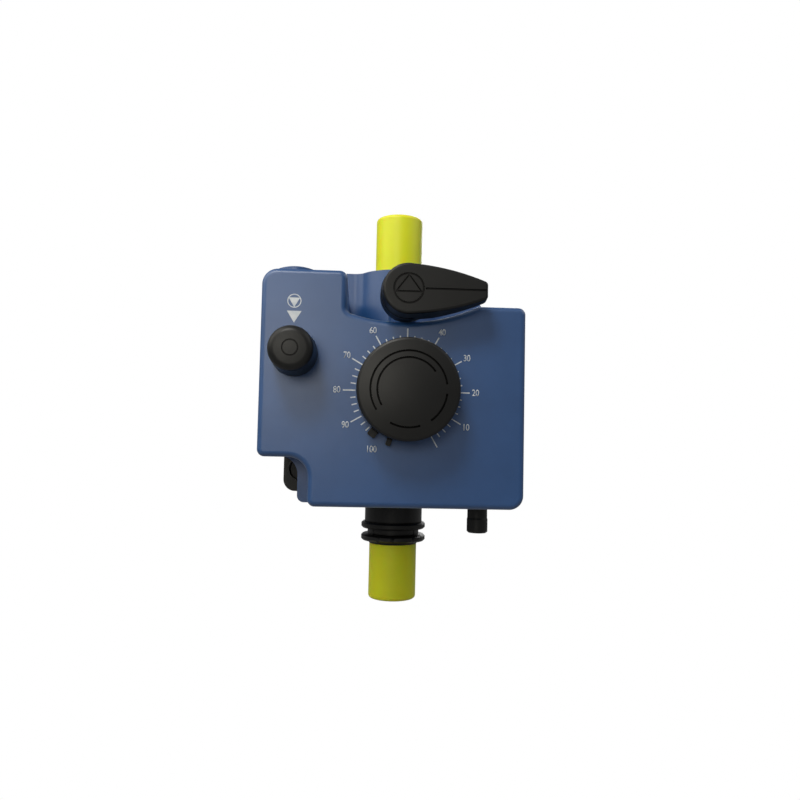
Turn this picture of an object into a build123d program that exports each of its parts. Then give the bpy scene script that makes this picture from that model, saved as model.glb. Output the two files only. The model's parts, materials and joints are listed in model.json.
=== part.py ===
"""Diaphragm metering pump with a stroke dial, an operating lever and a vent knob.

Millimetres, +Z up. The origin is the centre of the four wall screws, on the wall plane y = 0.
The front face looks along -Y, and depths are counted from it towards the wall.
"""

import os
from math import asin, cos, degrees, radians, sin, sqrt

from build123d import *

# ---------------------------------------------------------------- driving dimensions
FIT = 0.05  # radial clearance of pieces that are fixed in each other
RUN = 0.3  # clearance of pieces that move in each other

# housing
HOUSING_DEPTH = 140.0  # front face to wall
HALF_WIDTH = 80.0
HALF_HEIGHT = 71.0
WALL = 3.0
COVER_DEPTH = 32.0  # front face to the parting line
PLATE_THICKNESS = 8.0  # wall plate
HOUSING_REAR = HOUSING_DEPTH - PLATE_THICKNESS  # depth of the housing's back face
BACK_WALL = 4.0
SHOULDER_Z = HALF_HEIGHT - 19.4  # lower top edge on the right
BLOCK_RIGHT_X = 51.0 - HALF_WIDTH  # right side of the tall block on the left
SADDLE_X = 4.0  # lowest place of the saddle between block and shoulder
SADDLE_Z = HALF_HEIGHT - 30.4
SADDLE_RADIUS = 106.0
STEP_Z = 29.1 - HALF_HEIGHT  # cut-out of the lower left corner
COVER_NOTCH_X = 30.5 - HALF_WIDTH
HOUSING_NOTCH_X = 22.0 - HALF_WIDTH
NOTCH_RADIUS = 12.0
COVER_EDGE_RADIUS = 3.4

SEAL_INSET = 0.8  # outer surface to the cover seal
SEAL_WIDTH = 1.4
SEAL_DEPTH = 1.2

# tower behind the saddle
TOWER_DEPTH = HOUSING_DEPTH - 41.3  # depth of the tower's front
TOWER_LEFT_X = 18.0 - HALF_WIDTH
TOWER_RIGHT_X = HALF_WIDTH - 4.0
TOWER_TOP_Z = HALF_HEIGHT + 19.4
TOWER_LEFT_ROUND = 30.0
TOWER_RIGHT_ROUND = 46.0
BOSS_RADIUS = 30.0  # half-round front of the tower, about the ports
BOSS_RISE = 0.9  # the boss stands this far above the tower
BOSS_BLEND = 9.0  # hollow round where the boss meets the tower's front

# wall plate
PLATE_HALF_WIDTH = HALF_WIDTH - 3.0
PLATE_HALF_HEIGHT = HALF_HEIGHT
PLATE_CORNER = 9.0
WALL_HOLE_X = PLATE_HALF_WIDTH - 12.8
WALL_HOLE_Z = PLATE_HALF_HEIGHT - 17.0
WALL_HOLE_RADIUS = 2.75
WALL_SINK_RADIUS = 8.7
WALL_SINK_DEPTH = 5.0
TONGUE_HALF_WIDTH = 44.0  # dovetail tongue on the housing, at its root
TONGUE_DEPTH = 5.0
TONGUE_FLARE = 4.0
TONGUE_HALF_HEIGHT = PLATE_HALF_HEIGHT - 11.0

# axes
DIAL_X, DIAL_Z = 8.0, -1.4
PORT_X, PORT_DEPTH = 7.0, HOUSING_DEPTH - 30.0
LEVER_Z = HALF_HEIGHT - 14.0
VENT_X, VENT_Z = 20.6 - HALF_WIDTH, HALF_HEIGHT - 51.2
VENT_PORT_X, VENT_PORT_DEPTH = 19.2 - HALF_WIDTH, 17.0
CONNECTOR_X, CONNECTOR_DEPTH = HALF_WIDTH - 18.5, 60.0

# controls
DIAL_RADIUS = 29.9
DIAL_HEIGHT = 24.6
DIAL_RIBS = 60
DIAL_SHAFT_RADIUS = 3.0
LEVER_RADIUS = 16.0  # at the back of the lever
LEVER_LENGTH = 47.1  # pivot to tip
LEVER_TIP_HALF_WIDTH = 6.4
LEVER_DRAFT = 4.0  # degrees, the lever is narrower at its top face
LEVER_FRONT = -20.0  # depth of the lever's top face
LEVER_BACK = 5.7
ARM_BACK = -4.0
SPINDLE_RADIUS = 5.0
RIDGE_RADIUS = 8.0
RIDGE_FRONT = COVER_DEPTH + 2.0
VENT_KNOB_RADIUS = 14.0  # at its foot
VENT_KNOB_TAPER = 1.1
VENT_KNOB_HEIGHT = 28.0
VENT_STEM_RADIUS = 4.0

# electronics
BOARD_DEPTH = 22.0
BOARD_THICKNESS = 1.6
BOARD_HALF_WIDTH = 52.0
BOARD_HALF_HEIGHT = SADDLE_Z - DIAL_Z - 6.0
POST_RADIUS = 3.5
POT_RADIUS = 8.5
POT_FRONT = 13.0

# liquid end
HEAD_FRONT = HOUSING_DEPTH - 52.0
HEAD_HALF_HEIGHT = SADDLE_Z - DIAL_Z - 6.0
HEAD_HALF_WIDTH = HEAD_HALF_HEIGHT + 2.0
HEAD_PLATE = 8.0
DIAPHRAGM_RADIUS = HEAD_HALF_HEIGHT - 8.0
DIAPHRAGM_THICKNESS = 2.0
CHAMBER_RADIUS = DIAPHRAGM_RADIUS - 6.0
CHAMBER_DEPTH = 3.0
CHANNEL_RADIUS = 4.0
TIE_BOLT_X, TIE_BOLT_Z = HEAD_HALF_WIDTH - 7.0, HEAD_HALF_HEIGHT - 7.0
TIE_BOLT_RADIUS = 3.0
POCKET_RADIUS = 9.2  # pocket of a ball valve
SEAT_HEIGHT = 4.0
SEAT_BORE = 4.0
BALL_RADIUS = 5.5
BALL_LIFT = 1.5
CAGE_HEIGHT = 18.0
SPIGOT_RADIUS = 12.0
SPIGOT_LENGTH = 15.4
PORT_TUBE_RADIUS = 17.4  # both ports, where they pass the housing's wall
NECK_RADIUS = 21.0
NECK_BOTTOM_Z = -HALF_HEIGHT - 19.2
NECK_BORE = 6.0
FLANGE_RADIUS = 23.5
FLANGE_HEIGHT = 4.6
FLANGE_CHAMFER = 1.1
GROOVE_RADIUS = 18.8
GROOVE_HEIGHT = 4.3
NOZZLE_RADIUS = 16.1  # G1 thread
NOZZLE_BORE = 9.0
NOZZLE_LENGTH = 30.0
COLLAR_RADIUS = 17.7
COLLAR_HEIGHT = 1.9
CAP_RADIUS = 17.3
DISCHARGE_CAP_LENGTH = 44.0
SUCTION_CAP_LENGTH = 40.0
CAP_WALL = 0.9
CAP_END_RADIUS = 2.6
CAP_START_Z = TOWER_TOP_Z + BOSS_RISE + 0.7  # lower edge of the discharge cap
CAP_GAP = 0.3
CLIP_LEG_X = 11.6  # inner side of the clip's legs
CLIP_LEG = 3.0
CLIP_HEIGHT = 3.1

# drive
YOKE_FRONT = BOARD_DEPTH + 16.0
YOKE_BACK = HEAD_FRONT - HEAD_PLATE
YOKE_FLANGE_RADIUS = HEAD_HALF_HEIGHT + 1.0
YOKE_RADIUS = YOKE_FLANGE_RADIUS - 6.0
YOKE_WALL = 3.5
YOKE_FLANGE = 4.0
YOKE_END = 5.0
ROD_RADIUS = 3.0
STROKE = 1.25
ARMATURE_RADIUS = 10.9
ARMATURE_FRONT = YOKE_FRONT + 6.0
POLE_FRONT = (YOKE_FRONT + YOKE_BACK) / 2 - 1.0
ARMATURE_BACK = POLE_FRONT - STROKE - 0.5
POLE_RADIUS = 11.0
SPRING_RADIUS = 4.6
SPRING_WIRE = 0.6
SPRING_TURNS = 5
DRIVE_SCREW_RADIUS = YOKE_FLANGE_RADIUS - 3.0

# rotary valve
HEAD_TOP_Z = DIAL_Z + HEAD_HALF_HEIGHT
VALVE_RADIUS = 17.5
VALVE_TOP_Z = LEVER_Z + 13.6
PLUG_RADIUS = 8.0
PLUG_FRONT = PORT_DEPTH - 16.0
PLUG_LENGTH = 29.0

FRONT, BACK, UP, DOWN = (0, -1, 0), (0, 1, 0), (0, 0, 1), (0, 0, -1)

# heights and depths that follow
HEAD_BOTTOM_Z = DIAL_Z - HEAD_HALF_HEIGHT
HEAD_BACK = HOUSING_REAR - BACK_WALL
PORT_Y = PORT_DEPTH - HOUSING_DEPTH
GROOVE_TOP_Z = NECK_BOTTOM_Z - FLANGE_HEIGHT
GROOVE_BOTTOM_Z = GROOVE_TOP_Z - GROOVE_HEIGHT
SUCTION_CAP_Z = GROOVE_BOTTOM_Z - FLANGE_HEIGHT - COLLAR_HEIGHT - CAP_GAP
BALL_REST = sqrt(BALL_RADIUS**2 - SEAT_BORE**2) + FIT  # ball centre above its seat's face


# ---------------------------------------------------------------- helpers
def at(depth, x=0.0, z=0.0):
    """A point at a depth behind the front face."""
    return (x, depth - HOUSING_DEPTH, z)


def facing(depth, x=0.0, z=0.0):
    """A plane at a depth, seen from the front: X to the right, Z up, its normal to the front."""
    return Plane(origin=at(depth, x, z), x_dir=(1, 0, 0), z_dir=FRONT)


def ring(inner, outer, start, end):
    """The closed profile of a plain ring: (radius, distance along the axis) points."""
    return [(inner, start), (outer, start), (outer, end), (inner, end)]


def turned(profile, centre, direction, mode=Mode.ADD):
    """Turns a profile of (radius, distance along the axis) points about an axis."""
    along = Vector(*direction)
    across = Vector(1, 0, 0)
    with BuildSketch(Plane(origin=centre, x_dir=across, z_dir=across.cross(along))) as half:
        with BuildLine():
            Polyline(*profile, close=True)
        make_face()
    revolve(half.sketch, axis=Axis(centre, direction), mode=mode)


def dome_arc(height, rim_radius, drop):
    """The curve of a dome, from its top on the axis down to its rim."""
    radius = (rim_radius**2 + drop**2) / (2 * drop)
    CenterArc((0, height - radius), radius, 90, -degrees(asin(rim_radius / radius)))


def screw(head_radius, head_height, shank_radius, length, centre, direction, socket):
    """A cap screw: its head stands back from the centre, its shank runs along the direction."""
    profile = [
        (0, -head_height + head_height / 2),
        (socket, -head_height + head_height / 2),
        (socket, -head_height),
        (head_radius, -head_height),
        (head_radius, 0),
        (shank_radius, 0),
        (shank_radius, length),
        (0, length),
    ]
    turned(profile, centre, direction)


def saddle_height(x, inset=0.0):
    """Height of the saddle's curve, drawn inset below the surface."""
    centre_z = SADDLE_Z + SADDLE_RADIUS
    return centre_z - sqrt((SADDLE_RADIUS + inset) ** 2 - (x - SADDLE_X) ** 2)


def outline(plane, inset, notch_x):
    """The housing's outline, drawn inset by a distance."""
    left, right = inset - HALF_WIDTH, HALF_WIDTH - inset
    bottom, top = inset - HALF_HEIGHT, HALF_HEIGHT - inset
    shoulder, step = SHOULDER_Z - inset, STEP_Z + inset
    notch, block = notch_x + inset, BLOCK_RIGHT_X - inset
    centre_z = SADDLE_Z + SADDLE_RADIUS
    saddle_end = SADDLE_X + sqrt((SADDLE_RADIUS + inset) ** 2 - (centre_z - shoulder) ** 2)
    block_foot = saddle_height(block, inset)
    convex = [
        ((block, top), 4.6),
        ((left, top), 9.5),
        ((left, step), 4.4),
        ((notch, bottom), 4.4),
        ((right, bottom), 8.5),
        ((right, shoulder), 4.4),
    ]
    with BuildSketch(plane) as section:
        with BuildLine():
            Polyline(
                (block, block_foot),
                (block, top),
                (left, top),
                (left, step),
                (notch, step),
                (notch, bottom),
                (right, bottom),
                (right, shoulder),
                (saddle_end, shoulder),
            )
            ThreePointArc((saddle_end, shoulder), (SADDLE_X, SADDLE_Z - inset), (block, block_foot))
        make_face()
        for (x, z), radius in convex:
            corner = section.vertices().sort_by_distance((x, z, 0))[0]
            fillet(corner, max(radius - inset, 0.4))
        corner = section.vertices().sort_by_distance((notch, step, 0))[0]
        fillet(corner, NOTCH_RADIUS + inset)
        corner = section.vertices().sort_by_distance((block, block_foot, 0))[0]
        fillet(corner, 4.0 + inset)
    return section.sketch


def tower_section(depth, inset):
    """The tower's outline, drawn inset by a distance."""
    left, right = TOWER_LEFT_X + inset, TOWER_RIGHT_X - inset
    top = TOWER_TOP_Z - inset
    with BuildSketch(facing(depth)) as section:
        with BuildLine():
            Polyline((left, 0), (left, top), (right, top), (right, 0), close=True)
        make_face()
        for x, radius in [(left, TOWER_LEFT_ROUND), (right, TOWER_RIGHT_ROUND)]:
            fillet(section.vertices().sort_by_distance((x, top, 0))[0], radius - inset)
    return section.sketch


def half_boss(z, radius, back_depth):
    """The half-round section of the boss about the ports, on a level plane, back to a depth."""
    back_y = back_depth - HOUSING_DEPTH
    with BuildSketch(Plane.XY.offset(z)) as section:
        with Locations((PORT_X, PORT_Y)):
            Circle(radius)
        with Locations((PORT_X, back_y - radius)):
            Rectangle(2 * radius, 2 * radius, mode=Mode.INTERSECT)
    return section.sketch


def blended_boss(z):
    """The boss's section with hollow rounds to the tower's front, on a level plane."""
    tower_y = TOWER_DEPTH - HOUSING_DEPTH
    half_chord = sqrt(BOSS_RADIUS**2 - (PORT_Y - tower_y) ** 2)
    with BuildSketch(Plane.XY.offset(z)) as section:
        with Locations((PORT_X, PORT_Y)):
            Circle(BOSS_RADIUS)
        with Locations((PORT_X, tower_y + BOSS_RADIUS / 2)):
            Rectangle(2 * (BOSS_RADIUS + BOSS_BLEND), BOSS_RADIUS)
        for side in (-1, 1):
            corner = (PORT_X + side * half_chord, tower_y, 0)
            fillet(section.vertices().sort_by_distance(corner)[0], BOSS_BLEND)
        with Locations((PORT_X, tower_y - BOSS_RADIUS + 1)):
            Rectangle(4 * BOSS_RADIUS, 2 * BOSS_RADIUS, mode=Mode.INTERSECT)
    return section.sketch


def seal_section(clearance):
    """The section of the cover seal, widened by a clearance, at the bottom of its groove."""
    plane = facing(COVER_DEPTH + SEAL_DEPTH)
    outer = outline(plane, SEAL_INSET - clearance, COVER_NOTCH_X)
    return outer - outline(plane, SEAL_INSET + SEAL_WIDTH + clearance, COVER_NOTCH_X)


def dovetail(z, clearance):
    """The section of the housing's tongue, widened by a clearance, on a level plane."""
    root_y = HOUSING_REAR - HOUSING_DEPTH
    back_y = root_y + TONGUE_DEPTH + clearance
    root_x = TONGUE_HALF_WIDTH + clearance
    back_x = root_x + TONGUE_FLARE
    with BuildSketch(Plane.XY.offset(z)) as section:
        with BuildLine():
            Polyline((-root_x, root_y), (root_x, root_y), (back_x, back_y), (-back_x, back_y), close=True)
        make_face()
    return section.sketch


def finish(piece, name):
    """Labels a finished piece and writes it to its own file."""
    piece.part.label = name
    export_step(piece.part, f"parts/{name}.step")


os.makedirs("parts", exist_ok=True)

# ---------------------------------------------------------------- housing
COVER_SCREW_HEAD = 3.5
COLUMN_RADIUS = 4.8
WELL_RADIUS = 3.9
WELL_END = 45.0  # depth of the shoulder that the screw heads rest on
COVER_SCREWS = [
    (-HALF_WIDTH + 8.0, HALF_HEIGHT - 21.0),
    (BLOCK_RIGHT_X - 8.0, HALF_HEIGHT - 8.0),
    (-HALF_WIDTH + 8.0, STEP_Z + 8.0),
    (COVER_NOTCH_X + 8.0, -HALF_HEIGHT + 8.0),
    (HALF_WIDTH - 8.0, -HALF_HEIGHT + 21.0),
    (HALF_WIDTH - 8.0, SHOULDER_Z - 8.0),
]
BOARD_SCREWS = [
    (DIAL_X + side * (BOARD_HALF_WIDTH - 6), DIAL_Z + end * (BOARD_HALF_HEIGHT - 6))
    for side in (-1, 1)
    for end in (-1, 1)
]

with BuildPart() as front_cover:
    extrude(outline(facing(COVER_DEPTH), 0, COVER_NOTCH_X), amount=COVER_DEPTH)
    front_face = front_cover.faces().sort_by(Axis.Y)[0]
    fillet(front_face.outer_wire().edges(), COVER_EDGE_RADIUS)
    extrude(
        outline(facing(COVER_DEPTH), WALL, COVER_NOTCH_X),
        amount=COVER_DEPTH - WALL,
        mode=Mode.SUBTRACT,
    )
    for x, z in COVER_SCREWS:
        turned(ring(0, COLUMN_RADIUS, 0, COVER_DEPTH - WALL + 1), at(WALL - 1, x, z), BACK)
    for x, z in BOARD_SCREWS:
        turned(ring(0, POST_RADIUS, 0, BOARD_DEPTH - WALL + 1), at(WALL - 1, x, z), BACK)
        turned(ring(0, 1.3, 0, 9), at(BOARD_DEPTH - 9, x, z), BACK, Mode.SUBTRACT)
    for x, z in COVER_SCREWS:
        turned(ring(0, 1.8, 0, 14), at(COVER_DEPTH - 14, x, z), BACK, Mode.SUBTRACT)
    turned(ring(0, DIAL_SHAFT_RADIUS + RUN, 0, WALL), at(0, DIAL_X, DIAL_Z), BACK, Mode.SUBTRACT)
    turned(ring(0, VENT_STEM_RADIUS + RUN, 0, WALL), at(0, VENT_X, VENT_Z), BACK, Mode.SUBTRACT)
    turned(
        ring(0, 6 + FIT, HALF_HEIGHT - WALL, HALF_HEIGHT),
        at(VENT_PORT_DEPTH, VENT_PORT_X),
        UP,
        Mode.SUBTRACT,
    )
finish(front_cover, "front_cover")

with BuildPart() as cover_seal:
    extrude(seal_section(0), amount=SEAL_DEPTH)
finish(cover_seal, "cover_seal")

CAVITY_DEPTH = HOUSING_REAR - BACK_WALL
TIE_BOLTS = [
    (DIAL_X + side * TIE_BOLT_X, DIAL_Z + end * TIE_BOLT_Z) for side in (-1, 1) for end in (-1, 1)
]
LOCK_SCREW_DEPTH = HOUSING_REAR + 3.0

with BuildPart() as boss_blend:
    extrude(blended_boss(SADDLE_Z - 1), amount=TOWER_TOP_Z + BOSS_RISE - SADDLE_Z + 1)
    extrude(tower_section(HOUSING_REAR, -BOSS_RISE), amount=HOUSING_REAR, mode=Mode.INTERSECT)

with BuildPart() as main_housing:
    extrude(
        outline(facing(HOUSING_REAR), 0, HOUSING_NOTCH_X), amount=HOUSING_REAR - COVER_DEPTH
    )
    # tower with its half-round boss
    extrude(tower_section(HOUSING_REAR, 0), amount=HOUSING_REAR - TOWER_DEPTH)
    extrude(half_boss(SADDLE_Z - 1, BOSS_RADIUS, PORT_DEPTH), amount=TOWER_TOP_Z + BOSS_RISE - SADDLE_Z + 1)
    add(boss_blend.part)
    # ridge that carries the lever's spindle
    with BuildSketch(facing(TOWER_DEPTH, PORT_X, LEVER_Z)) as ridge:
        Circle(RIDGE_RADIUS)
        with Locations((0, (SADDLE_Z - WALL / 2 - LEVER_Z) / 2)):
            Rectangle(2 * RIDGE_RADIUS, LEVER_Z - SADDLE_Z + WALL / 2)
    extrude(ridge.sketch, amount=TOWER_DEPTH - RIDGE_FRONT)
    # inside: the mouth follows the cover, and the room behind it reaches into the band on the left
    extrude(
        outline(facing(CAVITY_DEPTH), WALL, HOUSING_NOTCH_X),
        amount=CAVITY_DEPTH - COVER_DEPTH - WALL,
        mode=Mode.SUBTRACT,
    )
    extrude(
        outline(facing(COVER_DEPTH + WALL), WALL, COVER_NOTCH_X), amount=WALL, mode=Mode.SUBTRACT
    )
    extrude(
        tower_section(CAVITY_DEPTH, WALL),
        amount=CAVITY_DEPTH - TOWER_DEPTH - WALL,
        mode=Mode.SUBTRACT,
    )
    boss_room = half_boss(HEAD_TOP_Z - 1, BOSS_RADIUS - WALL, PORT_DEPTH)
    extrude(boss_room, amount=TOWER_TOP_Z - WALL - HEAD_TOP_Z + 1, mode=Mode.SUBTRACT)
    # columns, wells and pilot holes of the cover screws
    for x, z in COVER_SCREWS:
        turned(ring(0, COLUMN_RADIUS, COVER_DEPTH, HOUSING_REAR - 1), at(0, x, z), BACK)
    for x, z in COVER_SCREWS:
        turned(ring(0, WELL_RADIUS, WELL_END, HOUSING_REAR), at(0, x, z), BACK, Mode.SUBTRACT)
        turned(ring(0, 2.2, COVER_DEPTH, HOUSING_REAR), at(0, x, z), BACK, Mode.SUBTRACT)
    # dovetail tongue for the wall plate
    extrude(dovetail(-TONGUE_HALF_HEIGHT, 0), amount=2 * TONGUE_HALF_HEIGHT)
    for x, z in TIE_BOLTS:
        turned(
            ring(0, TIE_BOLT_RADIUS + FIT, CAVITY_DEPTH, HOUSING_REAR + 3),
            at(0, x, z),
            BACK,
            Mode.SUBTRACT,
        )
    lock_hole = at(LOCK_SCREW_DEPTH, 0, -TONGUE_HALF_HEIGHT)
    turned(ring(0, 1.5 + FIT, 0, 13), lock_hole, UP, Mode.SUBTRACT)
    # bores of the lever's spindle, the ports and the connector
    spindle_bore = ring(0, SPINDLE_RADIUS + RUN, RIDGE_FRONT, PORT_DEPTH - BOSS_RADIUS + WALL + 1)
    turned(spindle_bore, at(0, PORT_X, LEVER_Z), BACK, Mode.SUBTRACT)
    bush_bore = ring(0, SPINDLE_RADIUS + 2 + FIT, RIDGE_FRONT, RIDGE_FRONT + 10)
    turned(bush_bore, at(0, PORT_X, LEVER_Z), BACK, Mode.SUBTRACT)
    turned(
        ring(0, PORT_TUBE_RADIUS + FIT, TOWER_TOP_Z - WALL, TOWER_TOP_Z + BOSS_RISE),
        at(PORT_DEPTH, PORT_X),
        UP,
        Mode.SUBTRACT,
    )
    turned(
        ring(0, PORT_TUBE_RADIUS + FIT, -HALF_HEIGHT, WALL - HALF_HEIGHT),
        at(PORT_DEPTH, PORT_X),
        UP,
        Mode.SUBTRACT,
    )
    turned(
        ring(0, 6 + FIT, -HALF_HEIGHT, WALL - HALF_HEIGHT),
        at(CONNECTOR_DEPTH, CONNECTOR_X),
        UP,
        Mode.SUBTRACT,
    )
    extrude(seal_section(FIT), amount=SEAL_DEPTH, mode=Mode.SUBTRACT)
finish(main_housing, "main_housing")

TONGUE_CLEARANCE = 0.2
with BuildPart() as wall_plate:
    with BuildSketch(facing(HOUSING_DEPTH)):
        RectangleRounded(2 * PLATE_HALF_WIDTH, 2 * PLATE_HALF_HEIGHT, PLATE_CORNER)
    extrude(amount=PLATE_THICKNESS)
    groove_bottom_z = -TONGUE_HALF_HEIGHT - TONGUE_CLEARANCE
    extrude(
        dovetail(groove_bottom_z, TONGUE_CLEARANCE),
        amount=PLATE_HALF_HEIGHT - groove_bottom_z,
        mode=Mode.SUBTRACT,
    )
    with Locations(facing(HOUSING_REAR)):
        with GridLocations(2 * WALL_HOLE_X, 2 * WALL_HOLE_Z, 2, 2):
            CounterBoreHole(WALL_HOLE_RADIUS, WALL_SINK_RADIUS, WALL_SINK_DEPTH, PLATE_THICKNESS)
    lock_foot = at(LOCK_SCREW_DEPTH, 0, -PLATE_HALF_HEIGHT)
    turned(ring(0, 1.5 + FIT, 0, 12), lock_foot, UP, Mode.SUBTRACT)
    turned(ring(0, 2.75 + FIT, 0, 3.2), lock_foot, UP, Mode.SUBTRACT)
finish(wall_plate, "wall_plate")

# ---------------------------------------------------------------- stroke dial
DIAL_BASE = 0.5  # the knob's back stands this far off the cover
DIAL_RIM = 22.4  # height of the rim about the dome
DOME_RADIUS = DIAL_RADIUS - 1.6
with BuildPart() as dial_knob:
    turned(
        [
            (0, DIAL_BASE),
            (DIAL_RADIUS - 0.6, DIAL_BASE),
            (DIAL_RADIUS, 4),
            (DIAL_RADIUS, DIAL_RIM - 1.6),
            (DIAL_RADIUS - 0.5, DIAL_RIM - 0.5),
            (DOME_RADIUS, DIAL_RIM),
            (0, DIAL_RIM),
        ],
        at(0, DIAL_X, DIAL_Z),
        FRONT,
    )
    # domed top
    with BuildSketch(Plane(origin=at(0, DIAL_X, DIAL_Z), x_dir=(1, 0, 0), z_dir=(0, 0, -1))) as dome:
        with BuildLine():
            dome_arc(DIAL_HEIGHT, DOME_RADIUS, DIAL_HEIGHT - DIAL_RIM)
            Polyline(
                (DOME_RADIUS, DIAL_RIM), (DOME_RADIUS, DIAL_RIM - 1), (0, DIAL_RIM - 1), (0, DIAL_HEIGHT)
            )
        make_face()
    revolve(dome.sketch, axis=Axis(at(0, DIAL_X, DIAL_Z), FRONT))
    # finger ribs round the rim, cut as shallow flutes
    with BuildSketch(facing(-DIAL_BASE, DIAL_X, DIAL_Z)) as flutes:
        with PolarLocations(DIAL_RADIUS + 0.35, DIAL_RIBS):
            RegularPolygon(0.95, 4)
    extrude(flutes.sketch, amount=DIAL_RIM - 3.5, mode=Mode.SUBTRACT)
    # two arc grooves in the top
    for radius, start, span in [(21.9, 8, 206), (18.0, 34, 178), (21.9, -54, 48), (21.9, -118, 46)]:
        angle = radians(start)
        spoke = Vector(cos(angle), 0, sin(angle))
        groove_plane = Plane(origin=at(0, DIAL_X, DIAL_Z), x_dir=spoke, z_dir=spoke.cross(Vector(*FRONT)))
        dome_z = DIAL_RIM + (DIAL_HEIGHT - DIAL_RIM) * (1 - (radius / DOME_RADIUS) ** 2)
        with BuildSketch(groove_plane) as arc_groove:
            with Locations((radius, dome_z)):
                Rectangle(1.1, 2.0)
        revolve(
            arc_groove.sketch,
            axis=Axis(at(0, DIAL_X, DIAL_Z), FRONT),
            revolution_arc=span,
            mode=Mode.SUBTRACT,
        )
    # pointer on the skirt: two prongs with a gap between them
    with BuildSketch(facing(-DIAL_BASE, DIAL_X, DIAL_Z)) as pointer:
        for angle, width in [(-128, 5.2), (-108.5, 3.2)]:
            with PolarLocations(DIAL_RADIUS + 1, 1, start_angle=angle):
                RectangleRounded(7, width, 1.2)
    extrude(pointer.sketch, amount=4.0)
    # blind bore for the shaft
    turned(ring(0, DIAL_SHAFT_RADIUS + FIT, 0, 16), at(0, DIAL_X, DIAL_Z), FRONT, Mode.SUBTRACT)
finish(dial_knob, "dial_knob")

with BuildPart() as dial_shaft:
    turned(ring(0, DIAL_SHAFT_RADIUS, -15.8, 20.5), at(0, DIAL_X, DIAL_Z), BACK)
finish(dial_shaft, "dial_shaft")

with BuildPart() as potentiometer:
    turned(
        ring(0, POT_RADIUS, POT_FRONT, BOARD_DEPTH), at(0, DIAL_X, DIAL_Z), BACK
    )
    turned(ring(0, 4.5, POT_FRONT - 6, POT_FRONT), at(0, DIAL_X, DIAL_Z), BACK)
    pot_bore = ring(0, DIAL_SHAFT_RADIUS + RUN, POT_FRONT - 6, BOARD_DEPTH - 1)
    turned(pot_bore, at(0, DIAL_X, DIAL_Z), BACK, Mode.SUBTRACT)
finish(potentiometer, "potentiometer")

with BuildPart() as circuit_board:
    with BuildSketch(facing(BOARD_DEPTH + BOARD_THICKNESS, DIAL_X, DIAL_Z)) as board:
        RectangleRounded(2 * BOARD_HALF_WIDTH, 2 * BOARD_HALF_HEIGHT, 2)
        with Locations(*[(x - DIAL_X, z - DIAL_Z) for x, z in BOARD_SCREWS]):
            Circle(1.5 + FIT, mode=Mode.SUBTRACT)
    extrude(board.sketch, amount=BOARD_THICKNESS)
    # relays, transformer and terminals behind the board
    for x, z, width, height, thick in [(-30, 12, 18, 26, 9), (34, -8, 16, 22, 9), (-8, -24, 30, 9, 7)]:
        with BuildSketch(facing(BOARD_DEPTH + BOARD_THICKNESS + thick, DIAL_X + x, DIAL_Z + z)) as block:
            Rectangle(width, height)
        extrude(block.sketch, amount=thick)
finish(circuit_board, "circuit_board")

with BuildPart() as board_screws:
    for x, z in BOARD_SCREWS:
        screw(2.75, 2.4, 1.3 - FIT, 9, at(BOARD_DEPTH + BOARD_THICKNESS, x, z), FRONT, 1.2)
finish(board_screws, "board_screws")

with BuildPart() as cover_screws:
    for x, z in COVER_SCREWS:
        screw(COVER_SCREW_HEAD, 4, 1.8 - FIT, WELL_END - COVER_DEPTH + 12, at(WELL_END, x, z), FRONT, 1.6)
finish(cover_screws, "cover_screws")

with BuildPart() as plate_lock_screw:
    screw(2.75, 3, 1.5, 20, at(LOCK_SCREW_DEPTH, 0, 3.2 - PLATE_HALF_HEIGHT), UP, 1.2)
finish(plate_lock_screw, "plate_lock_screw")

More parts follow.
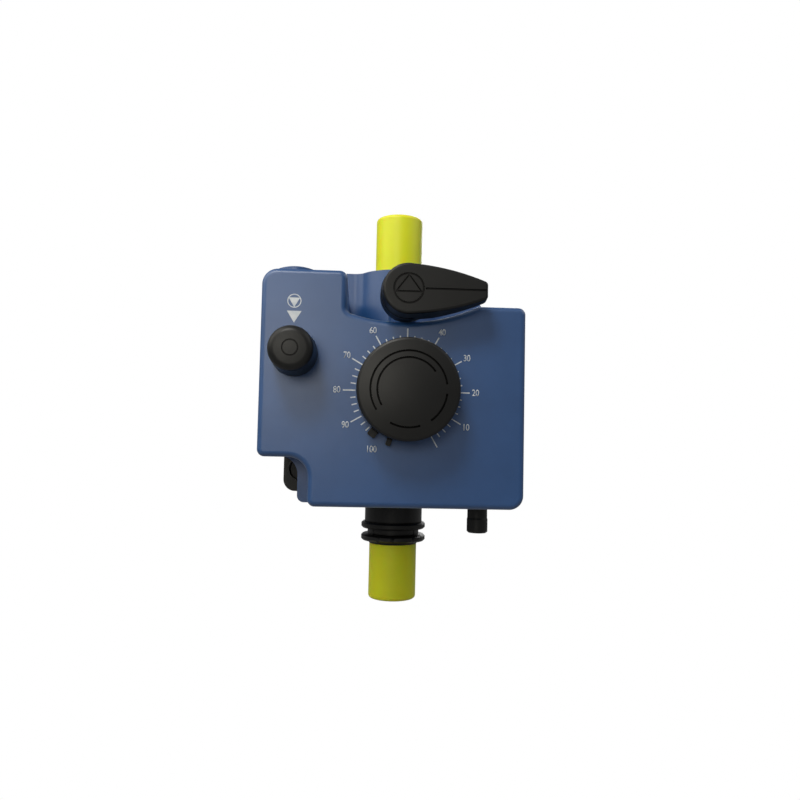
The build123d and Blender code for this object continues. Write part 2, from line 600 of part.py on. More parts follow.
# ---------------------------------------------------------------- operating lever and rotary valve
with BuildPart() as lever:
    with BuildSketch(facing(ARM_BACK, PORT_X, LEVER_Z)) as blade:
        with BuildLine():
            tangent_x = 3.0
            tangent_z = sqrt(LEVER_RADIUS**2 - tangent_x**2)
            upper = [(tangent_x, tangent_z), (25.0, 12.5), (LEVER_LENGTH, LEVER_TIP_HALF_WIDTH - 0.8)]
            ThreePointArc(*upper)
            Line(upper[-1], (LEVER_LENGTH, -upper[-1][1]))
            ThreePointArc(*[(x, -z) for x, z in reversed(upper)])
            ThreePointArc((tangent_x, -tangent_z), (-LEVER_RADIUS, 0), (tangent_x, tangent_z))
        make_face()
        fillet(blade.vertices().group_by(Axis.X)[-1], 3.6)
    extrude(blade.sketch, amount=ARM_BACK - LEVER_FRONT, taper=LEVER_DRAFT)
    # the arm thins towards its tip
    with BuildSketch(Plane.XY.offset(LEVER_Z - LEVER_RADIUS - 1)) as taper:
        with BuildLine():
            arm_y = ARM_BACK - HOUSING_DEPTH
            Polyline(
                (PORT_X + LEVER_RADIUS, arm_y + 1),
                (PORT_X + LEVER_LENGTH + 1, arm_y + 1),
                (PORT_X + LEVER_LENGTH + 1, arm_y - 7.5),
                (PORT_X + LEVER_RADIUS, arm_y),
                close=True,
            )
        make_face()
    extrude(taper.sketch, amount=2 * LEVER_RADIUS + 2, mode=Mode.SUBTRACT)
    top_face = lever.faces().sort_by(Axis.Y)[0]
    fillet(top_face.outer_wire().edges(), 1.6)
    # hub that reaches into the saddle
    turned(ring(0, LEVER_RADIUS, ARM_BACK - 4, LEVER_BACK), at(0, PORT_X, LEVER_Z), BACK)
    turned(ring(0, SPINDLE_RADIUS + FIT, -12, LEVER_BACK), at(0, PORT_X, LEVER_Z), BACK, Mode.SUBTRACT)
    # pump sign: a ring and a triangle, and a line along the arm, all engraved
    with BuildSketch(facing(LEVER_FRONT + 0.6, PORT_X, LEVER_Z)) as engraving:
        Circle(9.1)
        Circle(8.0, mode=Mode.SUBTRACT)
        Polygon((-8.2, -2.4), (8.2, -2.4), (0, 8.5), align=None)
        Polygon((-6.4, -1.4), (6.4, -1.4), (0, 7.1), align=None, mode=Mode.SUBTRACT)
        with Locations((27.9, 0)):
            SlotOverall(36.5, 1.1)
    extrude(engraving.sketch, amount=2, mode=Mode.SUBTRACT)
finish(lever, "lever")

with BuildPart() as lever_spindle:
    turned(ring(0, SPINDLE_RADIUS, -11.8, PLUG_FRONT + 7.8), at(0, PORT_X, LEVER_Z), BACK)
finish(lever_spindle, "lever_spindle")

with BuildPart() as lever_bush:
    bush_profile = [
        (SPINDLE_RADIUS + RUN, RIDGE_FRONT - 1.2),
        (RIDGE_RADIUS - 0.2, RIDGE_FRONT - 1.2),
        (RIDGE_RADIUS - 0.2, RIDGE_FRONT),
        (SPINDLE_RADIUS + 2, RIDGE_FRONT),
        (SPINDLE_RADIUS + 2, RIDGE_FRONT + 10),
        (SPINDLE_RADIUS + RUN, RIDGE_FRONT + 10),
    ]
    turned(bush_profile, at(0, PORT_X, LEVER_Z), BACK)
finish(lever_bush, "lever_bush")

PLUG_BORE = 4.0
with BuildPart() as valve_plug:
    turned(ring(0, PLUG_RADIUS, PLUG_FRONT, PLUG_FRONT + PLUG_LENGTH), at(0, PORT_X, LEVER_Z), BACK)
    turned(
        ring(0, SPINDLE_RADIUS + FIT, PLUG_FRONT, PLUG_FRONT + 8),
        at(0, PORT_X, LEVER_Z),
        BACK,
        Mode.SUBTRACT,
    )
    turned(
        ring(0, PLUG_BORE, -PLUG_RADIUS, PLUG_RADIUS), at(PORT_DEPTH, PORT_X, LEVER_Z), UP, Mode.SUBTRACT
    )
finish(valve_plug, "valve_plug")

VALVE_SCREW_X = 22.0
EAR_HEIGHT = 5.4
with BuildPart() as rotary_valve_body:
    turned(ring(0, VALVE_RADIUS, HEAD_TOP_Z, VALVE_TOP_Z), at(PORT_DEPTH, PORT_X), UP)
    with BuildSketch(Plane(origin=at(PORT_DEPTH, PORT_X, HEAD_TOP_Z))) as ears:
        SlotCenterToCenter(2 * VALVE_SCREW_X, 12)
    extrude(ears.sketch, amount=EAR_HEIGHT)
    for side in (-1, 1):
        turned(
            ring(0, 2 + FIT, HEAD_TOP_Z, HEAD_TOP_Z + EAR_HEIGHT),
            at(PORT_DEPTH, PORT_X + side * VALVE_SCREW_X),
            UP,
            Mode.SUBTRACT,
        )
    turned(
        ring(0, PLUG_RADIUS + RUN, PORT_DEPTH - VALVE_RADIUS, PLUG_FRONT + PLUG_LENGTH + RUN),
        at(0, PORT_X, LEVER_Z),
        BACK,
        Mode.SUBTRACT,
    )
    turned(ring(0, PLUG_BORE, HEAD_TOP_Z, VALVE_TOP_Z), at(PORT_DEPTH, PORT_X), UP, Mode.SUBTRACT)
finish(rotary_valve_body, "rotary_valve_body")

with BuildPart() as spindle_gland:
    gland_profile = [
        (SPINDLE_RADIUS + RUN, PLUG_FRONT - 6.5),
        (PLUG_RADIUS + 2, PLUG_FRONT - 6.5),
        (PLUG_RADIUS + 2, PLUG_FRONT - 2.2),
        (PLUG_RADIUS + RUN - FIT, PLUG_FRONT - 2.2),
        (PLUG_RADIUS + RUN - FIT, PLUG_FRONT - RUN),
        (SPINDLE_RADIUS + RUN, PLUG_FRONT - RUN),
    ]
    turned(gland_profile, at(0, PORT_X, LEVER_Z), BACK)
finish(spindle_gland, "spindle_gland")

with BuildPart() as valve_screws:
    for side in (-1, 1):
        centre = at(PORT_DEPTH, PORT_X + side * VALVE_SCREW_X, HEAD_TOP_Z + EAR_HEIGHT)
        screw(3.5, 4, 2, EAR_HEIGHT + 12, centre, DOWN, 1.5)
finish(valve_screws, "valve_screws")

# ---------------------------------------------------------------- vent
VENT_BODY_SIDE = 22.0
VENT_BODY_BACK = 28.0
VENT_NIPPLE_RADIUS = 6.0
VENT_CAP_RADIUS = 11.7
VENT_CAP_HEIGHT = 4.3
PIPE_RADIUS = 3.0
PIPE_BORE = 1.8
PIPE_DEPTH = PORT_DEPTH - 6.0  # where the vent pipe meets the dosing head
RISER_FOOT_Z = VENT_Z + VENT_BODY_SIDE / 2
NIPPLE_FOOT_Z = HALF_HEIGHT - WALL - 2

KNOB_DROP = 1.0  # the knob's face is domed by this much
with BuildPart() as vent_knob:
    with BuildSketch(Plane(origin=at(0, VENT_X, VENT_Z), x_dir=(1, 0, 0), z_dir=(0, 0, -1))) as half:
        with BuildLine():
            rim = (VENT_KNOB_RADIUS - VENT_KNOB_TAPER, VENT_KNOB_HEIGHT - KNOB_DROP)
            Polyline((0, VENT_KNOB_HEIGHT), (0, DIAL_BASE), (VENT_KNOB_RADIUS, DIAL_BASE), rim)
            dome_arc(VENT_KNOB_HEIGHT, rim[0], KNOB_DROP)
        make_face()
        fillet(half.vertices().sort_by_distance((*rim, 0))[0], 4.5)
        with Locations((4.4, VENT_KNOB_HEIGHT)):
            Rectangle(0.8, 1.2, mode=Mode.SUBTRACT)
    revolve(half.sketch, axis=Axis(at(0, VENT_X, VENT_Z), FRONT))
    turned(ring(0, VENT_STEM_RADIUS + FIT, 0, 20), at(0, VENT_X, VENT_Z), FRONT, Mode.SUBTRACT)
finish(vent_knob, "vent_knob")

STEM_BACK = 12.0
with BuildPart() as vent_stem:
    turned(ring(0, VENT_STEM_RADIUS, -19.8, STEM_BACK), at(0, VENT_X, VENT_Z), BACK)
finish(vent_stem, "vent_stem")

with BuildPart() as vent_needle:
    needle_profile = [
        (0, 14), (VENT_STEM_RADIUS, 14), (VENT_STEM_RADIUS, 21), (1.2, 23.7), (1.2, 26), (0, 26)
    ]
    turned(needle_profile, at(0, VENT_X, VENT_Z), BACK)
finish(vent_needle, "vent_needle")

with BuildPart() as vent_valve_body:
    with BuildSketch(facing(VENT_BODY_BACK, VENT_X, VENT_Z)) as block:
        RectangleRounded(VENT_BODY_SIDE, VENT_BODY_SIDE, 2)
    extrude(block.sketch, amount=VENT_BODY_BACK - WALL)
    turned(ring(0, VENT_STEM_RADIUS + RUN, WALL, 24), at(0, VENT_X, VENT_Z), BACK, Mode.SUBTRACT)
    turned(ring(0, 1.5, 24, VENT_BODY_BACK), at(0, VENT_X, VENT_Z), BACK, Mode.SUBTRACT)
    turned(
        ring(0, PIPE_BORE, VENT_Z, RISER_FOOT_Z), at(VENT_PORT_DEPTH, VENT_PORT_X), UP, Mode.SUBTRACT
    )
finish(vent_valve_body, "vent_valve_body")

with BuildPart() as vent_riser:
    turned(
        ring(PIPE_BORE, PIPE_RADIUS, RISER_FOOT_Z, NIPPLE_FOOT_Z), at(VENT_PORT_DEPTH, VENT_PORT_X), UP
    )
finish(vent_riser, "vent_riser")

with BuildPart() as vent_nipple:
    nipple_profile = [
        (PIPE_BORE, NIPPLE_FOOT_Z),
        (VENT_NIPPLE_RADIUS + 3, NIPPLE_FOOT_Z),
        (VENT_NIPPLE_RADIUS + 3, HALF_HEIGHT - WALL),
        (VENT_NIPPLE_RADIUS, HALF_HEIGHT - WALL),
        (VENT_NIPPLE_RADIUS, HALF_HEIGHT + 1.7),
        (PIPE_BORE, HALF_HEIGHT + 1.7),
    ]
    turned(nipple_profile, at(VENT_PORT_DEPTH, VENT_PORT_X), UP)
finish(vent_nipple, "vent_nipple")

CAP_DROP = 2.2
with BuildPart() as vent_port_cap:
    cap_origin = at(VENT_PORT_DEPTH, VENT_PORT_X, HALF_HEIGHT)
    with BuildSketch(Plane(origin=cap_origin, x_dir=(1, 0, 0), z_dir=FRONT)) as half:
        with BuildLine():
            Polyline(
                (0, VENT_CAP_HEIGHT),
                (0, VENT_CAP_HEIGHT - 1.6),
                (VENT_CAP_RADIUS - 4, VENT_CAP_HEIGHT - 2.4),
                (VENT_CAP_RADIUS - 3, 0),
                (VENT_CAP_RADIUS, 0),
                (VENT_CAP_RADIUS, VENT_CAP_HEIGHT - CAP_DROP),
            )
            dome_arc(VENT_CAP_HEIGHT, VENT_CAP_RADIUS, CAP_DROP)
        make_face()
    revolve(half.sketch, axis=Axis(cap_origin, UP))
finish(vent_port_cap, "vent_port_cap")

with BuildPart() as vent_pipe:
    with BuildLine() as pipe_route:
        FilletPolyline(
            at(VENT_BODY_BACK, VENT_X, VENT_Z),
            at(PIPE_DEPTH, VENT_X, VENT_Z),
            at(PIPE_DEPTH, DIAL_X - HEAD_HALF_WIDTH, VENT_Z),
            radius=16,
        )
    with BuildSketch(Plane(origin=pipe_route.line @ 0, z_dir=pipe_route.line % 0)):
        Circle(PIPE_RADIUS)
        Circle(PIPE_BORE, mode=Mode.SUBTRACT)
    sweep(path=pipe_route.line)
finish(vent_pipe, "vent_pipe")

# ---------------------------------------------------------------- liquid end
UPPER_POCKET_Z = HEAD_TOP_Z - SEAT_HEIGHT - CAGE_HEIGHT
LOWER_POCKET_TOP_Z = HEAD_BOTTOM_Z + SPIGOT_LENGTH
SUCTION_POCKET_Z = LOWER_POCKET_TOP_Z - SEAT_HEIGHT - CAGE_HEIGHT
DRIVE_SCREWS = [
    (DIAL_X + DRIVE_SCREW_RADIUS * cos(radians(angle)), DIAL_Z + DRIVE_SCREW_RADIUS * sin(radians(angle)))
    for angle in (20, 160, 200, 340)
]
O_RING_WIRE = 0.85
FACE_SEAL_RADIUS = 12.0

with BuildPart() as dosing_head:
    with BuildSketch(facing(HEAD_BACK, DIAL_X, DIAL_Z)) as block:
        RectangleRounded(2 * HEAD_HALF_WIDTH, 2 * HEAD_HALF_HEIGHT, 4)
    extrude(block.sketch, amount=HEAD_BACK - HEAD_FRONT)
    turned(
        [(0, HEAD_FRONT), (CHAMBER_RADIUS, HEAD_FRONT), (CHAMBER_RADIUS - 6, HEAD_FRONT + CHAMBER_DEPTH),
         (0, HEAD_FRONT + CHAMBER_DEPTH)],
        at(0, DIAL_X, DIAL_Z),
        BACK,
        Mode.SUBTRACT,
    )
    turned(ring(0, CHANNEL_RADIUS, HEAD_FRONT, PORT_DEPTH), at(0, PORT_X, DIAL_Z), BACK, Mode.SUBTRACT)
    port_axis = at(PORT_DEPTH, PORT_X)
    turned(ring(0, CHANNEL_RADIUS, HEAD_BOTTOM_Z, HEAD_TOP_Z), port_axis, UP, Mode.SUBTRACT)
    turned(ring(0, SPIGOT_RADIUS, HEAD_BOTTOM_Z, LOWER_POCKET_TOP_Z), port_axis, UP, Mode.SUBTRACT)
    turned(ring(0, POCKET_RADIUS, UPPER_POCKET_Z, HEAD_TOP_Z), port_axis, UP, Mode.SUBTRACT)
    face_groove = ring(
        FACE_SEAL_RADIUS - O_RING_WIRE - FIT, FACE_SEAL_RADIUS + O_RING_WIRE + FIT,
        HEAD_TOP_Z - 2 * O_RING_WIRE - FIT, HEAD_TOP_Z,
    )
    turned(face_groove, port_axis, UP, Mode.SUBTRACT)
    for x, z in TIE_BOLTS:
        turned(ring(0, TIE_BOLT_RADIUS + FIT, HEAD_FRONT, HEAD_BACK), at(0, x, z), BACK, Mode.SUBTRACT)
    for side in (-1, 1):
        screw_axis = at(PORT_DEPTH, PORT_X + side * VALVE_SCREW_X)
        turned(ring(0, 2 + FIT, HEAD_TOP_Z - 13, HEAD_TOP_Z), screw_axis, UP, Mode.SUBTRACT)
    vent_hole = at(PIPE_DEPTH, DIAL_X - HEAD_HALF_WIDTH, VENT_Z)
    with BuildSketch(Plane(origin=vent_hole, z_dir=(1, 0, 0))) as drilling:
        Circle(PIPE_BORE)
    extrude(drilling.sketch, amount=PORT_X - DIAL_X + HEAD_HALF_WIDTH - POCKET_RADIUS + 3, mode=Mode.SUBTRACT)
finish(dosing_head, "dosing_head")

RECESS_FRONT = HEAD_FRONT - DIAPHRAGM_THICKNESS
ROD_DISC_RADIUS = 9.0
with BuildPart() as head_plate:
    with BuildSketch(facing(HEAD_FRONT, DIAL_X, DIAL_Z)) as block:
        RectangleRounded(2 * HEAD_HALF_WIDTH, 2 * HEAD_HALF_HEIGHT, 4)
    extrude(block.sketch, amount=HEAD_PLATE)
    turned(
        [(0, YOKE_BACK), (ROD_DISC_RADIUS + 3, YOKE_BACK), (ROD_DISC_RADIUS + 3, YOKE_BACK + 3),
         (ROD_DISC_RADIUS + 9, RECESS_FRONT), (DIAPHRAGM_RADIUS + FIT, RECESS_FRONT),
         (DIAPHRAGM_RADIUS + FIT, HEAD_FRONT), (0, HEAD_FRONT)],
        at(0, DIAL_X, DIAL_Z),
        BACK,
        Mode.SUBTRACT,
    )
    for x, z in TIE_BOLTS:
        turned(ring(0, TIE_BOLT_RADIUS + FIT, YOKE_BACK, HEAD_FRONT), at(0, x, z), BACK, Mode.SUBTRACT)
    for x, z in DRIVE_SCREWS:
        turned(ring(0, 2 + FIT, YOKE_BACK, HEAD_FRONT), at(0, x, z), BACK, Mode.SUBTRACT)
finish(head_plate, "head_plate")

with BuildPart() as diaphragm:
    turned(
        [(0, RECESS_FRONT), (DIAPHRAGM_RADIUS, RECESS_FRONT), (DIAPHRAGM_RADIUS, HEAD_FRONT),
         (CHAMBER_RADIUS - 2, HEAD_FRONT), (CHAMBER_RADIUS - 4.5, HEAD_FRONT + 0.8),
         (CHAMBER_RADIUS - 9, HEAD_FRONT + 0.8), (CHAMBER_RADIUS - 11.5, HEAD_FRONT),
         (0, HEAD_FRONT)],
        at(0, DIAL_X, DIAL_Z),
        BACK,
    )
finish(diaphragm, "diaphragm")

with BuildPart() as tie_bolts:
    for x, z in TIE_BOLTS:
        bolt_length = HOUSING_REAR + 2.8 - YOKE_BACK
        screw(5, 6, TIE_BOLT_RADIUS, bolt_length, at(YOKE_BACK, x, z), BACK, 2.5)
finish(tie_bolts, "tie_bolts")

for name, base_z in [("suction", SUCTION_POCKET_Z), ("discharge", UPPER_POCKET_Z)]:
    with BuildPart() as seat:
        turned(ring(SEAT_BORE, POCKET_RADIUS - FIT, base_z, base_z + SEAT_HEIGHT), port_axis, UP)
    finish(seat, f"{name}_seat")

    with BuildPart() as ball:
        with Locations(at(PORT_DEPTH, PORT_X, base_z + SEAT_HEIGHT + BALL_REST)):
            Sphere(BALL_RADIUS)
    finish(ball, f"{name}_ball")

    cage_foot = base_z + SEAT_HEIGHT
    roof_height = BALL_REST + BALL_RADIUS + BALL_LIFT + 0.15
    with BuildPart() as cage:
        turned(ring(0, POCKET_RADIUS - FIT, cage_foot, cage_foot + CAGE_HEIGHT), port_axis, UP)
        turned(ring(0, BALL_RADIUS + RUN, cage_foot, cage_foot + roof_height), port_axis, UP, Mode.SUBTRACT)
        with BuildSketch(Plane(origin=at(PORT_DEPTH, PORT_X, cage_foot))) as flow_slots:
            with PolarLocations(5.4, 4):
                RectangleRounded(4.4, 3.2, 1)
        extrude(flow_slots.sketch, amount=CAGE_HEIGHT, mode=Mode.SUBTRACT)
    finish(cage, f"{name}_cage")

SPIGOT_SEAL_Z = LOWER_POCKET_TOP_Z - 7
with BuildPart() as suction_neck:
    turned(
        [
            (POCKET_RADIUS, LOWER_POCKET_TOP_Z),
            (SPIGOT_RADIUS - FIT, LOWER_POCKET_TOP_Z),
            (SPIGOT_RADIUS - FIT, HEAD_BOTTOM_Z),
            (PORT_TUBE_RADIUS, HEAD_BOTTOM_Z),
            (PORT_TUBE_RADIUS, -HALF_HEIGHT),
            (NECK_RADIUS, -HALF_HEIGHT),
            (NECK_RADIUS, NECK_BOTTOM_Z),
            (FLANGE_RADIUS - FLANGE_CHAMFER, NECK_BOTTOM_Z),
            (FLANGE_RADIUS, NECK_BOTTOM_Z - FLANGE_CHAMFER),
            (FLANGE_RADIUS, GROOVE_TOP_Z + FLANGE_CHAMFER),
            (FLANGE_RADIUS - FLANGE_CHAMFER, GROOVE_TOP_Z),
            (GROOVE_RADIUS, GROOVE_TOP_Z),
            (GROOVE_RADIUS, GROOVE_BOTTOM_Z),
            (SPIGOT_RADIUS + FIT, GROOVE_BOTTOM_Z),
            (SPIGOT_RADIUS + FIT, NECK_BOTTOM_Z),
            (NECK_BORE, NECK_BOTTOM_Z),
            (NECK_BORE, SUCTION_POCKET_Z),
            (POCKET_RADIUS, SUCTION_POCKET_Z),
        ],
        port_axis,
        UP,
    )
    seal_groove = ring(
        SPIGOT_RADIUS - 2 * O_RING_WIRE - 2 * FIT, SPIGOT_RADIUS + 1,
        SPIGOT_SEAL_Z - O_RING_WIRE - FIT, SPIGOT_SEAL_Z + O_RING_WIRE + FIT,
    )
    turned(seal_groove, port_axis, UP, Mode.SUBTRACT)
    # slots of the clip
    with BuildSketch(Plane(origin=at(PORT_DEPTH, PORT_X, GROOVE_BOTTOM_Z))) as slots:
        Circle(FLANGE_RADIUS)
        Circle(GROOVE_RADIUS - CLIP_LEG - RUN, mode=Mode.SUBTRACT)
        with Locations((0, -FLANGE_RADIUS - CLIP_LEG)):
            Rectangle(2 * CLIP_LEG_X, 2 * FLANGE_RADIUS, mode=Mode.INTERSECT)
        for side in (-1, 1):
            with Locations((side * (CLIP_LEG_X + CLIP_LEG / 2), 0)):
                Rectangle(CLIP_LEG + 2 * RUN, 2 * FLANGE_RADIUS)
    extrude(slots.sketch, amount=GROOVE_HEIGHT, mode=Mode.SUBTRACT)
finish(suction_neck, "suction_neck")

with BuildPart() as suction_o_ring:
    with BuildSketch(Plane(origin=port_axis, x_dir=(1, 0, 0), z_dir=FRONT)) as wire:
        with Locations((SPIGOT_RADIUS - O_RING_WIRE - FIT, SPIGOT_SEAL_Z)):
            Circle(O_RING_WIRE)
    revolve(wire.sketch, axis=Axis(port_axis, UP))
finish(suction_o_ring, "suction_o_ring")

with BuildPart() as discharge_o_ring:
    with BuildSketch(Plane(origin=port_axis, x_dir=(1, 0, 0), z_dir=FRONT)) as wire:
        with Locations((FACE_SEAL_RADIUS, HEAD_TOP_Z - O_RING_WIRE)):
            Circle(O_RING_WIRE)
    revolve(wire.sketch, axis=Axis(port_axis, UP))
finish(discharge_o_ring, "discharge_o_ring")

CLIP_Z = GROOVE_BOTTOM_Z + (GROOVE_HEIGHT - CLIP_HEIGHT) / 2
with BuildPart() as suction_nozzle:
    flange_foot_z = GROOVE_BOTTOM_Z - FLANGE_HEIGHT
    collar_foot_z = flange_foot_z - COLLAR_HEIGHT
    turned(
        [
            (NECK_BORE, NECK_BOTTOM_Z),
            (SPIGOT_RADIUS, NECK_BOTTOM_Z),
            (SPIGOT_RADIUS, GROOVE_TOP_Z),
            (CLIP_LEG_X - RUN, GROOVE_TOP_Z),
            (CLIP_LEG_X - RUN, GROOVE_BOTTOM_Z),
            (FLANGE_RADIUS - FLANGE_CHAMFER, GROOVE_BOTTOM_Z),
            (FLANGE_RADIUS, GROOVE_BOTTOM_Z - FLANGE_CHAMFER),
            (FLANGE_RADIUS, flange_foot_z + FLANGE_CHAMFER),
            (FLANGE_RADIUS - FLANGE_CHAMFER, flange_foot_z),
            (COLLAR_RADIUS, flange_foot_z),
            (COLLAR_RADIUS, collar_foot_z),
            (NOZZLE_RADIUS, collar_foot_z),
            (NOZZLE_RADIUS, collar_foot_z - NOZZLE_LENGTH),
            (NOZZLE_BORE, collar_foot_z - NOZZLE_LENGTH),
            (NOZZLE_BORE, collar_foot_z - 6),
            (NECK_BORE, collar_foot_z),
        ],
        port_axis,
        UP,
    )
finish(suction_nozzle, "suction_nozzle")

with BuildPart() as suction_clip:
    with BuildSketch(Plane(origin=at(PORT_DEPTH, PORT_X, CLIP_Z))) as clip:
        leg_front, leg_back = -11.0, 15.0
        Circle(GROOVE_RADIUS - RUN)
        Circle(GROOVE_RADIUS - CLIP_LEG, mode=Mode.SUBTRACT)
        with Locations((0, -FLANGE_RADIUS)):
            Rectangle(2 * (CLIP_LEG_X + CLIP_LEG), 2 * (FLANGE_RADIUS + leg_front), mode=Mode.INTERSECT)
        for side in (-1, 1):
            with Locations((side * (CLIP_LEG_X + CLIP_LEG / 2), (leg_front + leg_back) / 2)):
                Rectangle(CLIP_LEG, leg_back - leg_front)
    extrude(clip.sketch, amount=CLIP_HEIGHT)
finish(suction_clip, "suction_clip")

with BuildPart() as discharge_nozzle:
    neck_foot_z, neck_top_z = VALVE_TOP_Z + 4.4, TOWER_TOP_Z - WALL - 4
    thread_foot_z = CAP_START_Z - CAP_GAP
    turned(
        [
            (NOZZLE_BORE, VALVE_TOP_Z),
            (VALVE_RADIUS - 0.5, VALVE_TOP_Z),
            (VALVE_RADIUS - 0.5, neck_foot_z),
            (NOZZLE_BORE + 4, neck_foot_z),
            (NOZZLE_BORE + 4, neck_top_z),
            (PORT_TUBE_RADIUS, neck_top_z),
            (PORT_TUBE_RADIUS, thread_foot_z),
            (NOZZLE_RADIUS, thread_foot_z),
            (NOZZLE_RADIUS, thread_foot_z + NOZZLE_LENGTH),
            (NOZZLE_BORE, thread_foot_z + NOZZLE_LENGTH),
        ],
        port_axis,
        UP,
    )
finish(discharge_nozzle, "discharge_nozzle")

for name, start_z, length, direction in [
    ("discharge", CAP_START_Z, DISCHARGE_CAP_LENGTH, UP),
    ("suction", SUCTION_CAP_Z, SUCTION_CAP_LENGTH, DOWN),
]:
    with BuildPart() as port_cap:
        mouth = at(PORT_DEPTH, PORT_X, start_z)
        along = Vector(*direction)
        with BuildSketch(Plane(origin=mouth, x_dir=(1, 0, 0), z_dir=Vector(1, 0, 0).cross(along))) as half:
            with BuildLine():
                Polyline(*ring(0, CAP_RADIUS, 0, length), close=True)
            make_face()
            fillet(half.vertices().sort_by_distance((CAP_RADIUS, length, 0))[0], CAP_END_RADIUS)
            with BuildLine():
                Polyline(*ring(0, CAP_RADIUS - CAP_WALL, 0, length - 3 * CAP_WALL), close=True)
            make_face(mode=Mode.SUBTRACT)
        revolve(half.sketch, axis=Axis(mouth, direction))
    finish(port_cap, f"{name}_cap")

# ---------------------------------------------------------------- drive
drive_axis = at(0, DIAL_X, DIAL_Z)
BUSH_RADIUS = 5.0
BOBBIN_BACK = YOKE_BACK - 4.6
SPRING_SEAT = YOKE_BACK - 9.0
POLE_DISC_FRONT = YOKE_BACK - 4.2
YOKE_INSIDE = YOKE_FRONT + YOKE_END
YOKE_BORE = YOKE_RADIUS - YOKE_WALL

with BuildPart() as solenoid_yoke:
    turned(
        [
            (BUSH_RADIUS + FIT, YOKE_FRONT),
            (YOKE_RADIUS, YOKE_FRONT),
            (YOKE_RADIUS, YOKE_BACK - YOKE_FLANGE),
            (YOKE_FLANGE_RADIUS, YOKE_BACK - YOKE_FLANGE),
            (YOKE_FLANGE_RADIUS, YOKE_BACK),
            (YOKE_BORE, YOKE_BACK),
            (YOKE_BORE, YOKE_INSIDE),
            (BUSH_RADIUS + FIT, YOKE_INSIDE),
        ],
        drive_axis,
        BACK,
    )
    for x, z in DRIVE_SCREWS:
        turned(ring(0, 2 + FIT, YOKE_BACK - YOKE_FLANGE, YOKE_BACK), at(0, x, z), BACK, Mode.SUBTRACT)
finish(solenoid_yoke, "solenoid_yoke")

with BuildPart() as drive_screws:
    for x, z in DRIVE_SCREWS:
        screw(2.9, 3, 2, 10, at(YOKE_BACK - YOKE_FLANGE, x, z), BACK, 1.5)
finish(drive_screws, "drive_screws")

with BuildPart() as pole_piece:
    turned(
        [
            (SPRING_RADIUS + SPRING_WIRE + 1.3, POLE_FRONT),
            (POLE_RADIUS, POLE_FRONT),
            (POLE_RADIUS, POLE_DISC_FRONT),
            (YOKE_BORE - FIT, POLE_DISC_FRONT),
            (YOKE_BORE - FIT, YOKE_BACK),
            (BUSH_RADIUS + FIT, YOKE_BACK),
            (BUSH_RADIUS + FIT, SPRING_SEAT),
            (SPRING_RADIUS + SPRING_WIRE + 1.3, SPRING_SEAT),
        ],
        drive_axis,
        BACK,
    )
finish(pole_piece, "pole_piece")

for name, front, back in [("front_bush", YOKE_FRONT, YOKE_INSIDE), ("rear_bush", SPRING_SEAT, YOKE_BACK)]:
    with BuildPart() as bush:
        turned(ring(ROD_RADIUS + RUN, BUSH_RADIUS, front, back), drive_axis, BACK)
    finish(bush, name)

with BuildPart() as guide_tube:
    turned(ring(ARMATURE_RADIUS + RUN, ARMATURE_RADIUS + 1, YOKE_INSIDE, POLE_DISC_FRONT), drive_axis, BACK)
finish(guide_tube, "guide_tube")

BOBBIN_BORE = ARMATURE_RADIUS + 1 + FIT
BOBBIN_WALL = 1.5
BOBBIN_FRONT = YOKE_INSIDE + 0.1
with BuildPart() as coil_bobbin:
    turned(
        [
            (BOBBIN_BORE, BOBBIN_FRONT),
            (YOKE_BORE - 0.5, BOBBIN_FRONT),
            (YOKE_BORE - 0.5, BOBBIN_FRONT + BOBBIN_WALL),
            (BOBBIN_BORE + BOBBIN_WALL, BOBBIN_FRONT + BOBBIN_WALL),
            (BOBBIN_BORE + BOBBIN_WALL, BOBBIN_BACK - BOBBIN_WALL),
            (YOKE_BORE - 0.5, BOBBIN_BACK - BOBBIN_WALL),
            (YOKE_BORE - 0.5, BOBBIN_BACK),
            (BOBBIN_BORE, BOBBIN_BACK),
        ],
        drive_axis,
        BACK,
    )
finish(coil_bobbin, "coil_bobbin")

with BuildPart() as coil_winding:
    winding = ring(
        BOBBIN_BORE + BOBBIN_WALL + FIT, YOKE_BORE - 1.5,
        BOBBIN_FRONT + BOBBIN_WALL + FIT, BOBBIN_BACK - BOBBIN_WALL - FIT,
    )
    turned(winding, drive_axis, BACK)
finish(coil_winding, "coil_winding")

with BuildPart() as armature:
    turned(ring(ROD_RADIUS + FIT, ARMATURE_RADIUS, ARMATURE_FRONT, ARMATURE_BACK), drive_axis, BACK)
finish(armature, "armature")

with BuildPart() as push_rod:
    turned(
        [
            (0, YOKE_FRONT + 0.5),
            (ROD_RADIUS, YOKE_FRONT + 0.5),
            (ROD_RADIUS, RECESS_FRONT - 2),
            (ROD_DISC_RADIUS, RECESS_FRONT - 2),
            (ROD_DISC_RADIUS, RECESS_FRONT),
            (0, RECESS_FRONT),
        ],
        drive_axis,
        BACK,
    )
finish(push_rod, "push_rod")

with BuildPart() as return_spring:
    spring_length = SPRING_SEAT - ARMATURE_BACK - 2 * SPRING_WIRE - 2 * FIT
    spring_start = at(ARMATURE_BACK + SPRING_WIRE + FIT, DIAL_X, DIAL_Z)
    with BuildLine() as coil:
        Helix(spring_length / SPRING_TURNS, spring_length, SPRING_RADIUS, center=spring_start, direction=BACK)
    with BuildSketch(Plane(origin=coil.line @ 0, z_dir=coil.line % 0)):
        Circle(SPRING_WIRE)
    sweep(path=coil.line, is_frenet=True)
finish(return_spring, "return_spring")

